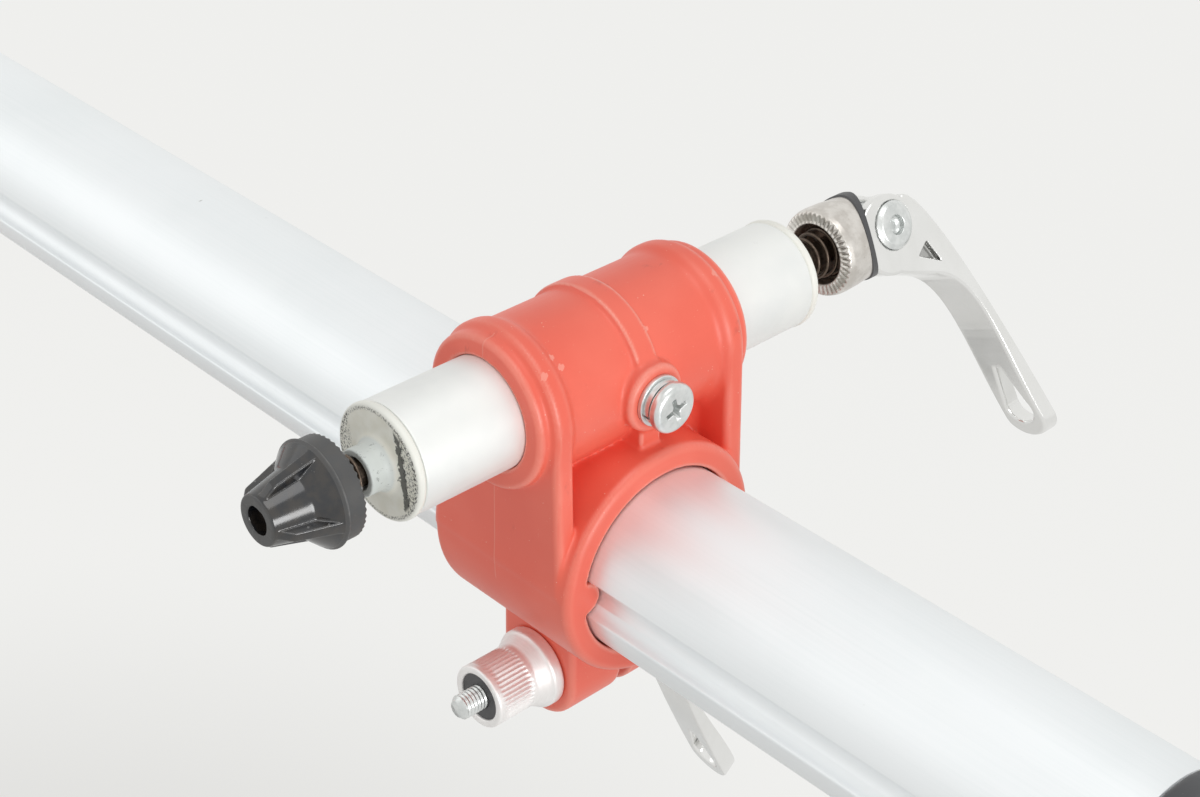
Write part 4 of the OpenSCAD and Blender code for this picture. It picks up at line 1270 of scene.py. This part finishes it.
@dataclass
class CamLever:
    """The cam lever that all three clamps share, drawn round its pin: the bolt comes from -Y."""

    width: float = 11.0
    reach: float = 58.0
    cam: float = 8.3
    cam_at: Point = (-1.3, -1.6)
    pin: float = 5.0
    slot: float = 5.6

    @staticmethod
    def bezier(a: Point, b: Point, c: Point, d: Point, steps: int = 24) -> list[Point]:
        """Points along a cubic curve.

        Args:
            a: Its start.
            b: What it sets out toward.
            c: What it comes in from.
            d: Its end.
            steps: Number of its stretches.

        Returns:
            The points.
        """
        t = np.linspace(0, 1, steps + 1)[:, None]
        s = 1 - t
        line = (s ** 3 * np.array(a) + 3 * s * s * t * np.array(b)
                + 3 * s * t * t * np.array(c) + t ** 3 * np.array(d))
        return [tuple(p) for p in line.tolist()]

    def blade(self) -> Shape:
        """The lever itself.

        Returns:
            Its shape, with its hollow marked for painted shade.
        """
        half, reach = self.width / 2, self.reach
        bench = Bench((-half, -11, -reach), (half, 37, 8), 0.26)
        x, y, z = bench.x, bench.y, bench.z
        inner = self.bezier((9.5, -13.7), (22, -18.5), (22.5, -38), (31, -reach))
        outer = self.bezier((35.4, -reach), (24.6, -28.3), (10.8, 5.1), (4.5, 5.1))
        side = join(rod(y, z, self.cam, self.cam_at),
                    outline(y, z, [(-7, -7), (0.5, -10.6), *inner, *outer]))
        tip = join(meet(slab(x, -half, half), slab(z, half - reach, 20)),
                   rod(x, z, half, (0.0, half - reach)))
        lever = meet(meet(side, np.abs(x) - half, 0.85), tip, 0.7)
        slot = join(outline(y, z, [(-14, -6.4), (-2, -4.2), (4.2, -1), (7.5, 1.5), (16, 6),
                                   (8, 16), (-14, 16)]),
                    rod(y, z, self.pin + 0.1))
        lever = cut(lever, meet(slot, np.abs(x) - self.slot / 2), 0.4)
        lever = cut(lever, rod(y, z, self.pin + 0.05), 0.25)
        nook = meet(outline(y, z, [(8.1, -6), (5, -8.3), (11, -11.3)]), half - 1.6 - np.abs(x))
        lever = cut(lever, nook, 0.3)
        drop = join(rod(x, z, 3.2, (0.0, 7.1 - reach)),
                    outline(x, z, [(-3.0, 8.2 - reach), (3.0, 8.2 - reach), (0.7, 18 - reach),
                                   (-0.7, 18 - reach)]), 0.5)
        blade = bench.cast(cut(lever, meet(drop, 14 - y), 0.55))
        # Marks the triangular hollow, which its finish darkens as painted shade.
        across, out, up = blade.points.T
        inside = outline(out, up, [(8.1, -6), (5, -8.3), (11, -11.3)]) < 0.1
        blade.hollow_shade = np.where(inside & (np.abs(across) < half - 0.35), 1.0, 0.0)
        return blade

    def cross_pin(self) -> Shape:
        """The pin along X, with a dished centre at each end.

        Returns:
            Its shape.
        """
        end, pin = self.width / 2 + 0.8, self.pin
        head = [(AXIS, end - 1.7), (1.3, end - 1.7), (2.0, end - 1.2), (2.0, end), (pin - 0.9, end),
                (pin - 0.5, end - 0.35), (pin, end - 0.7)]
        head = fillet(head, 0.25, 4)
        profile = [(r, -y) for r, y in head] + [(r, y) for r, y in head[::-1]]
        return turned(profile, 72).moved(Matrix.Rotation(math.radians(-90), 4, "Z"))


@dataclass
class ForkSkewer(Assembly):
    """The quick-release skewer through the dummy hub."""

    lever: CamLever
    pin_out: float = 78.9
    tilt: float = 25.0
    cup_face: float = 61.0
    cup: float = 9.2
    cup_bore: float = 6.3
    cup_depth: float = 3.6
    cup_length: float = 11.4
    saddle: float = 11.56
    rod: float = 2.5
    nut_face: float = -59.8
    nut_base: float = -64.7
    nut_tip: float = -75.5
    nut_flange: float = 9.5
    waist: float = 6.4
    waist_at: float = -68.0
    edge: float = 6.9
    edge_at: float = -72.9
    fins: int = 4
    fin_turn: float = 9.5
    rod_ends: tuple[float, float] = (-72.6, 82.3)
    springs_at: float = 55.3

    def nut(self) -> Shape:
        """The finned nut: toothed flange, flared collar, slim cone and four fins.

        Returns:
            Its shape round the hub.
        """
        base, tip = self.nut_base, self.nut_tip
        bench = Bench((-10, tip - 0.5, -10), (10, self.nut_face + 1, 10), 0.16)
        x, y, z = bench.x, bench.y, bench.z
        radius = np.sqrt(x * x + z * z)
        bite = 0.32 * teeth(44, np.arctan2(z, x)) * np.clip((radius - 6.6) / 0.6, 0, 1)
        flange = meet(radius - self.nut_flange, np.maximum(base - y, y - self.nut_face + bite), 0.3)
        past_waist, past_edge = y - self.waist_at, y - self.edge_at
        slim = (radius - self.waist - past_waist * 0.228) * 0.975
        flare = (radius - self.waist - past_waist * 0.909) * 0.74
        core = meet(join(slim, flare, 0.2), slab(y, tip, base + 1), 0.4)
        edge = meet((radius - self.edge - past_edge * 0.317) * 0.953,
                    (radius - self.edge - past_edge * 1.08) * 0.68, 0.2)
        half = 0.85 + past_edge * 0.05 + (8.0 - radius).clip(0, 4) * 0.05
        edge = meet(edge, slab(y, tip, base + 1))
        for i in range(self.fins):
            a = math.radians(self.fin_turn + 360 / self.fins * i)
            across = x * math.cos(a) - z * math.sin(a)
            up = x * math.sin(a) + z * math.cos(a)
            core = join(core, meet(edge, np.maximum(np.abs(across) - half, -up), 0.2), 0.2)
        nut = join(core, flange, 0.15)
        nut = cut(nut, meet(radius - self.rod - 0.1, slab(y, -80, -58)), 0.35)
        return bench.cast(cut(nut, meet(radius - 6.2, self.nut_face - 2.2 - y), 0.2))

    def cup_shape(self) -> Shape:
        """The cam cup, with a serrated face, a deep bore and a saddle for the cam.

        Returns:
            Its shape round the hub.
        """
        face, cup = self.cup_face, self.cup
        outer = [(cup - 0.8, face), (cup - 0.35, face + 0.5), (cup - 0.05, face + 1.6),
                 (cup, face + 3.0), (cup - 0.1, face + 5.6), (cup - 0.35, face + 8.4),
                 (cup - 0.5, face + self.cup_length)]
        bench = Bench((-9.6, face - 0.2, -9.6), (9.6, face + 12, 9.6), 0.15)
        x, y, z = bench.x, bench.y, bench.z
        radius = np.sqrt(x * x + z * z)
        profile = [(0.0, face - 1.0), (cup - 0.8, face - 1.0), *outer,
                   (0.0, face + self.cup_length)]
        body = outline(np.broadcast_to(radius, bench.shape)[:, 0, :][:, None, :], y, profile)
        bite = (0.5 * teeth(42, np.arctan2(z, x))
                * np.clip((radius - self.cup_bore - 0.25) / 0.3, 0, 1))
        body = meet(body, face + bite - y, 0.25)
        body = cut(body, meet(radius - self.cup_bore, y - face - self.cup_depth), 0.3)
        body = cut(body, radius - self.rod - 0.05)
        a = math.radians(self.tilt)
        up = -x * math.sin(a) + z * math.cos(a)
        body = cut(body, np.sqrt((y - self.pin_out) ** 2 + up ** 2) - self.saddle, 0.3)
        return bench.cast(body)

    def spring(self, turns: int, start: float, length: float, way: int) -> Shape:
        """One conical spring.

        Args:
            turns: Its turns.
            start: Its small end, from the hub's middle.
            length: Its length.
            way: 1 to the lever's side, -1 to the nut's side.

        Returns:
            The spring.
        """
        t = np.linspace(0, 1, turns * 40 + 1)
        radius, angle = 3.5 + 1.7 * t, 2 * math.pi * turns * t
        path = np.stack((radius * np.cos(angle) * way, (start + length * t) * way,
                         radius * np.sin(angle)), axis=1)
        return swept(path, 0.4, 12)

    def build(self) -> Iterator[bpy.types.Object]:
        """Makes its pieces.

        Returns:
            The pieces, one after the other.
        """
        there = Matrix.Translation(HUB)
        at_pin = (there @ Matrix.Translation((0, self.pin_out, 0))
                  @ Matrix.Rotation(math.radians(-self.tilt), 4, "Y"))
        yield piece("fork_cam_lever", self.lever.blade().moved(at_pin), Kind.LEVER, "fork_lever",
                    ["fork_lever"], "lever_alloy", 50)
        yield piece("fork_lever_pin", self.lever.cross_pin().moved(at_pin), Kind.ZINC,
                    "fork_skewer", ["fork_cam_pin"], "zinc_steel")
        yield piece("fork_cam_thimble", self.cup_shape().moved(there), Kind.CUP, "fork_skewer",
                    ["fork_cam_cup"], "cup_steel", 50)
        yield piece("fork_ridged_nut", self.nut().moved(there), Kind.GLOSS, "fork_nut",
                    ["fork_nut"], "black_gloss", 50)
        first, last = self.rod_ends
        profile = fillet([(AXIS, first), (self.rod, first), (self.rod, last), (AXIS, last)], 0.4)
        yield piece("fork_skewer_bar", turned(profile, 48).moved(there), Kind.SPRING, "fork_skewer",
                    ["fork_skewer_rod"], "spring_steel")
        coils = self.spring(4, self.springs_at, 8.8, 1) + self.spring(2, self.springs_at, 6.2, -1)
        yield piece("fork_cone_springs", coils.moved(there), Kind.SPRING, "fork_skewer",
                    ["fork_springs"], "spring_steel")
        yield dressed("fork_cam_washer", Kind.BLACK)


@dataclass
class Clamp(Assembly):
    """A bolt across two ears, with a knurled nut at -Y and a cam lever at +Y."""

    name: str
    lever: CamLever
    place: Vector
    spin: float
    lever_place: Matrix
    bodies: tuple[str, str, str]
    nodes: tuple[str, str, str, str, str]
    insert: str | None = None
    bolt: float = 2.5
    nut_face: float = -13.2
    nut_length: float = 15.0
    bolt_out: float = 5.3
    pin_out: float = PIN_OUT
    flange: float = 8.2
    barrel: float = 6.5
    lip: float = 5.0
    lip_slope: float = 1.2

    def nut(self) -> Shape:
        """The nut: a rounded flange, a waist and a knurled barrel with a plain lip.

        Returns:
            Its shape round the bolt.
        """
        y, tip = self.nut_face, self.nut_face - self.nut_length
        pocket = 4.9 if self.insert else self.bolt + 0.05
        rows = [(self.bolt + 0.05, y), (self.flange, y), (self.flange, y - 2.3),
                (self.flange - 0.5, y - 2.9),
                (self.barrel, y - 5.2), (self.barrel, y - 6.3)]
        profile = fillet(rows, 0.5)
        knurl = np.linspace(y - 6.4, tip + 1.5, 14)
        profile += [(self.barrel, float(v)) for v in knurl]
        end = [(self.barrel, tip + 1.3), (self.barrel, tip), (pocket, tip), (pocket, tip + 4.5)]
        if self.insert:
            end.append((self.bolt + 0.05, tip + 4.5))
        profile += fillet(end, 0.5)

        def ribbed(radius: Array, along: Array, angle: Array) -> tuple[Array, Array]:
            """Presses straight knurls into the barrel.

            Args:
                radius: Radius of each point.
                along: Its Y.
                angle: Its angle round the axis.

            Returns:
                The changed radius and Y.
            """
            band = np.clip((y - 6.3 - along) / 0.4, 0, 1) * np.clip((along - tip - 1.4) / 0.4, 0, 1)
            outside = radius > self.barrel - 0.01
            depth = 0.3 * np.clip(teeth(44, angle) * 1.6 - 0.3, 0, 1)
            return radius - depth * band * outside, along + 0 * angle

        return turned(profile, 264, ribbed, ring=True)

    def bolt_shape(self) -> Shape:
        """The bolt, threaded where it stands out of the nut.

        Returns:
            Its shape.
        """
        tip = self.nut_face - self.nut_length - self.bolt_out
        rows = [(AXIS, tip), (self.bolt - 0.75, tip), (self.bolt - 0.2, tip + 0.6)]
        rows += [(self.bolt, float(v)) for v in np.arange(tip + 0.7, tip + 11.0, 0.1)]
        rows += [(self.bolt, tip + 11.1), (self.bolt, self.pin_out + 3.2),
                 (AXIS, self.pin_out + 3.4)]

        def threaded(radius: Array, along: Array, angle: Array) -> tuple[Array, Array]:
            """Winds a thread of 0.8 mm pitch.

            Args:
                radius: Radius of each point.
                along: Its Y.
                angle: Its angle round the axis.

            Returns:
                The changed radius and Y.
            """
            phase = (along / 0.8 - angle / (2 * math.pi)) % 1.0
            depth = 0.26 * (1 - np.abs(2 * phase - 1)) * (radius > self.bolt - 0.3)
            band = np.clip((tip + 11.0 - along) / 0.5, 0, 1)
            return radius - depth * band, along + 0 * angle

        return turned(rows, 60, threaded)

    def build(self) -> Iterator[bpy.types.Object]:
        """Makes its pieces.

        Returns:
            The pieces, one after the other.
        """
        there = Matrix.Translation(self.place)
        skewer, lever, nut = self.bodies
        bolt_node, pin_node, seat_node, lever_node, nut_node = self.nodes
        yield piece(f"{self.name}_bolt_threaded", self.bolt_shape().moved(there), Kind.ZINC, skewer,
                    [bolt_node], "zinc_steel", 60)
        yield piece(f"{self.name}_nut_knurled", self.nut().moved(there), Kind.NUT, nut, [nut_node],
                    "nut_alloy")
        yield piece(f"{self.name}_cam_lever", self.lever.blade().moved(self.lever_place),
                    Kind.LEVER, lever, [lever_node], "lever_alloy", 50)
        pin = (there @ Matrix.Rotation(math.radians(self.spin), 4, "Y")
               @ Matrix.Translation((0, self.pin_out, 0)))
        yield piece(f"{self.name}_lever_pin", self.lever.cross_pin().moved(pin), Kind.ZINC, skewer,
                    [pin_node], "zinc_steel")
        seat = eased_copy(seat_node, 0.35, 0.25)
        beside = (np.abs(seat.points[:, 2] - self.place.z) - self.lip).clip(0)
        along = seat.points[:, 1]
        seat.points[:, 1] = np.minimum(along, along.max() - self.lip_slope * beside)
        yield piece(f"{self.name}_cam_saddle", seat, Kind.BLACK, skewer, [seat_node],
                    "black_plastic", 50)
        if self.insert:
            yield dressed(self.insert, Kind.BLACK)


@dataclass
class BeamTube(Assembly):
    """The grooved beam with its two end caps."""

    radius: float = 18.75
    groove: float = 3.8
    groove_out: float = 18.95
    rear: float = -222.684
    front: float = 603.316
    height: float = BEAM_HEIGHT

    def section(self) -> list[Point]:
        """The tube's outline in Y and Z: a circle with a scooped groove at each side.

        Returns:
            The closed outline.
        """
        meet_at = math.acos((self.radius ** 2 + self.groove_out ** 2 - self.groove ** 2)
                            / (2 * self.radius * self.groove_out))
        corner = (self.radius * math.cos(meet_at), self.radius * math.sin(meet_at))
        swing = math.atan2(corner[1], corner[0] - self.groove_out)
        arc = [(self.radius * math.cos(a), self.radius * math.sin(a))
               for a in np.linspace(meet_at + 0.03, math.pi - meet_at - 0.03, 90)]
        scoop = [(-self.groove_out + self.groove * math.cos(a), self.groove * math.sin(a))
                 for a in np.linspace(math.pi - swing - 0.12, swing - math.pi + 0.12, 24)]
        shares = (0.25, 0.5, 0.75)
        upper = bend(arc[-1], (-corner[0], corner[1]), scoop[0], shares)
        half = [*arc, *upper, *scoop]
        other = [(-y, -z) for y, z in half]
        lower = bend(half[-1], (-corner[0], -corner[1]), other[0], shares)
        return [*half, *lower, *other, *[(-y, -z) for y, z in lower]]

    def build(self) -> Iterator[bpy.types.Object]:
        """Makes its pieces.

        Returns:
            The pieces, one after the other.
        """
        bar = drawn(self.section(), self.rear, self.front, 0.3)
        bar = bar.moved(Matrix.Translation((0, 0, self.height)))
        yield piece("beam_extrusion", bar, Kind.BEAM, "head", ["beam"], "beam_anodised", 30)
        for end in ("front", "rear"):
            node = f"beam_{end}_cap"
            yield piece(f"beam_{end}_end_cap", eased_copy(node, 0.8, 0.45), Kind.CAP, "head",
                        [node], "black_plastic", 50)


@dataclass
class Castings(Assembly):
    """The mouldings and turned parts that are the CAD solids, some worked again with their edges eased
    and the rest shown as they are with a finish.
    """

    eased: tuple[tuple[str, str, Kind, str, str, float, float, float], ...] = (
        ("head_moulding", "head_body", Kind.RED_PLAIN, "head", "red_plastic", 1.1, 0.6, 1.5),
        ("cradle_moulding", "cradle_body", Kind.RED_PLAIN, "head", "red_plastic", 1.1, 0.6, 1.5),
        ("cradle_rubber_pads", "cradle_pads", Kind.RUBBER, "head", "black_rubber", 0.6, 0.4, 0.0),
        ("collar_moulding", "mast_collar", Kind.RED_PLAIN, "stand", "red_plastic", 1.0, 0.5, 1.2),
        ("crown_moulding", "crown", Kind.RED_PLAIN, "stand", "red_plastic", 1.0, 0.6, 1.5),
        ("swivel_star_knob", "swivel_knob", Kind.BLACK, "swivel_knob", "black_plastic", 1.2, 0.4, 0.6),
        ("hook_star_knob", "hook_knob", Kind.BLACK, "hook_knob", "black_plastic", 1.2, 0.4, 0.6),
        ("hook_rubber_sleeve", "hook_sleeve", Kind.RUBBER, "hook", "black_rubber", 0.7, 0.4, 0.0),
        ("mast_foot_cap", "outer_mast_cap", Kind.BLACK, "stand", "black_plastic", 0.6, 0.5, 0.0),
        ("mast_top_bush", "mast_bush", Kind.BLACK, "stand", "black_plastic", 0.4, 0.35, 0.0),
    )
    plain: tuple[tuple[str, Kind], ...] = (
        ("head_bolts", Kind.ZINC), ("swivel_bush", Kind.BLACK), ("swivel_bolt", Kind.ZINC),
        ("swivel_knob_stud", Kind.ZINC), ("swivel_insert", Kind.BRASS), ("hook_knob_insert", Kind.BRASS),
        ("hook_rod", Kind.CHROME), ("inner_mast", Kind.TUBE), ("mast_plug", Kind.BLACK),
        ("mast_guide", Kind.BLACK), ("outer_mast", Kind.TUBE), ("leg_pins", Kind.ZINC),
        ("leg_1", Kind.TUBE), ("leg_2", Kind.TUBE), ("leg_3", Kind.TUBE),
    )

    def build(self) -> Iterator[bpy.types.Object]:
        """Makes its pieces.

        Returns:
            The pieces, one after the other.
        """
        for name, node, kind, body, slot, radius, pitch, cove in self.eased:
            yield piece(name, eased_copy(node, radius, pitch, cove), kind, body, [node], slot, 50)
        for i in (1, 2, 3):
            yield piece(f"leg_{i}_knuckle", eased_copy(f"leg_knuckle_{i}", 0.8, 0.5, 0.8),
                        Kind.BLACK, f"leg_{i}", [f"leg_knuckle_{i}"], "black_plastic", 50)
            yield piece(f"leg_{i}_foot", eased_copy(f"foot_{i}", 1.2, 0.6), Kind.RUBBER, f"leg_{i}",
                        [f"foot_{i}"], "black_rubber", 50)
        for node, kind in self.plain:
            yield dressed(node, kind)


# --- Studio -------------------------------------------------------------------------------


@dataclass
class Lamp:
    """A soft area lamp, in metres and watts."""

    name: str
    at: tuple[float, float, float]
    size: float
    power: float
    aim: tuple[float, float, float] = (0.45, 0.0, 0.95)

    def light(self) -> None:
        """Hangs the lamp."""
        data = bpy.data.lights.new(self.name, "AREA")
        data.shape, data.size, data.energy = "DISK", self.size, self.power
        lamp = bpy.data.objects.new(self.name, data)
        lamp.location = self.at
        lamp.rotation_mode = "QUATERNION"
        lamp.rotation_quaternion = (Vector(self.aim) - Vector(self.at)).to_track_quat("-Z", "Y")
        lamp.visible_camera = False
        bpy.context.scene.collection.objects.link(lamp)


@dataclass
class Studio:
    """Camera, lamps, world and floor."""

    eye: tuple[float, float, float] = (0.735211, -0.251728, 1.198667)
    right: tuple[float, float, float] = (0.68588, 0.72746, 0.01935)
    down: tuple[float, float, float] = (0.40293, -0.35750, -0.84252)
    ahead: tuple[float, float, float] = (-0.60598, 0.58566, -0.53832)
    lens: float = 69.94
    pale: Colour = paint(249, 249, 247)
    fill: float = 0.66
    lamps: tuple[Lamp, ...] = (
        Lamp("front_softbox", (2.424, -0.242, 1.16), 0.9, 15.8),
        Lamp("side_softbox", (-1.4, -1.7, 2.2), 2.2, 5.5),
        Lamp("top_softbox", (0.866, 0.0, 2.9), 1.2, 6.5),
    )

    def camera(self) -> None:
        """Sets the camera where the photographer stood."""
        data = bpy.data.cameras.new("camera")
        data.lens, data.sensor_width, data.clip_start, data.clip_end = self.lens, 36.0, 0.02, 60.0
        cam = bpy.data.objects.new("camera", data)
        r, d, f, e = self.right, self.down, self.ahead, self.eye
        cam.matrix_world = Matrix((
            (r[0], -d[0], -f[0], e[0]), (r[1], -d[1], -f[1], e[1]), (r[2], -d[2], -f[2], e[2]),
            (0, 0, 0, 1)))
        bpy.context.scene.collection.objects.link(cam)
        bpy.context.scene.camera = cam

    @staticmethod
    def seen_plainly(graph: Graph) -> Sock:
        """Tells rays that show a surface from rays that light it.

        Args:
            graph: The graph to work in.

        Returns:
            1 in the camera, a reflection or a glass, otherwise 0.
        """
        first = graph.add("ShaderNodeLightPath", out="Is Camera Ray")
        node = first.socket.node
        return first.high(Sock(graph, node.outputs["Is Glossy Ray"])).high(
            Sock(graph, node.outputs["Is Transmission Ray"]))

    def world(self) -> None:
        """Pale all round where it is seen, dimmer as a light."""
        world = bpy.data.worlds.new("studio_walls")
        world.use_nodes = True
        bpy.context.scene.world = world
        graph = Graph.__new__(Graph)
        graph.tree = world.node_tree
        graph.tree.nodes.clear()
        seen = self.seen_plainly(graph)
        strength = self.fill + seen * (1.0 - self.fill)
        back = graph.add(
            "ShaderNodeBackground", inputs={"Color": (*self.pale, 1.0), "Strength": strength})
        graph.add("ShaderNodeOutputWorld", inputs={"Surface": back})

    def floor(self) -> None:
        """A plain pale floor that keeps the stand's shadow, and is darkened round the mast by a painted
        shadow.
        """
        mesh = bpy.data.meshes.new("studio_floor")
        half = 9.0
        corners = [(-half, -half, 0), (half, -half, 0), (half, half, 0), (-half, half, 0)]
        mesh.from_pydata(corners, [], [[0, 1, 2, 3]])
        graph = Graph("pale_studio_floor")
        spot = graph.place()
        tone = graph.mix(paint(205, 204, 202), paint(210, 209, 207),
                         graph.noise(spot, 0.0012, 3.0).ease(0.3, 0.7))
        matt = graph.add("ShaderNodeBsdfDiffuse", inputs={"Color": tone})
        glow = graph.add("ShaderNodeEmission", inputs={"Color": (*self.pale, 1.0), "Strength": 1.0})
        # Painted shadow: nearer than about 850 mm to the mast less of the glow is used, so the floor
        # darkens round the stand.
        along_x, along_y, _ = graph.split(spot)
        past_mast = along_x - MAST_X
        out = (past_mast * past_mast + along_y * along_y) ** 0.5
        share = self.seen_plainly(graph) * (
            out.ease(300.0, 850.0, 0.5, 0.84) + out.ease(4000.0, 8500.0, 0.0, 0.16))
        shader = graph.add("ShaderNodeMixShader", inputs={0: share, 1: matt, 2: glow})
        graph.add("ShaderNodeOutputMaterial", inputs={"Surface": shader})
        mesh.materials.append(graph.material)
        floor = bpy.data.objects.new("studio_floor", mesh)
        bpy.context.scene.collection.objects.link(floor)

    def build(self) -> None:
        """Sets up everything that isn't the stand."""
        self.camera()
        self.world()
        self.floor()
        for lamp in self.lamps:
            lamp.light()
        bpy.context.scene.view_settings.view_transform = "Standard"


def main() -> None:
    """Builds the studio and the stand, and logs each piece's name and face count."""
    logging.basicConfig(level=logging.INFO, format="%(message)s")
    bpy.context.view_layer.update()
    Studio().build()
    lever = CamLever()
    slider_lever = (
        Matrix.Translation(CLAMP_BOLT) @ Matrix.Rotation(math.radians(CLAMP_SPIN), 4, "Y")
        @ Matrix.Translation((0, PIN_OUT, 0)) @ Matrix.Rotation(math.radians(-OPEN_TURN), 4, "X")
        @ Matrix.Scale(-1, 4, (0, 0, 1)))
    collar_lever = Matrix.Translation(COLLAR_BOLT + Vector((0, PIN_OUT, 0)))
    assemblies: list[Assembly] = [
        ForkSlider(),
        DummyHub(),
        ForkSkewer(lever),
        Clamp("clamp", lever, CLAMP_BOLT, CLAMP_SPIN, slider_lever,
              ("clamp_skewer", "clamp_lever", "clamp_nut"),
              ("clamp_bolt", "clamp_cam_pin", "clamp_cam_seat", "clamp_lever", "clamp_nut"),
              "clamp_nut_insert"),
        BeamTube(),
        Clamp("collar", lever, COLLAR_BOLT, 0.0, collar_lever,
              ("stand", "collar_lever", "collar_nut"),
              ("collar_bolt", "collar_cam_pin", "collar_cam_seat", "collar_lever", "collar_nut")),
        Castings(),
    ]
    for assembly in assemblies:
        for made in assembly.build():
            log.info(
                "%s: %s, %d faces", type(assembly).__name__, made.name, len(made.data.polygons))


if __name__ == "__main__":
    main()
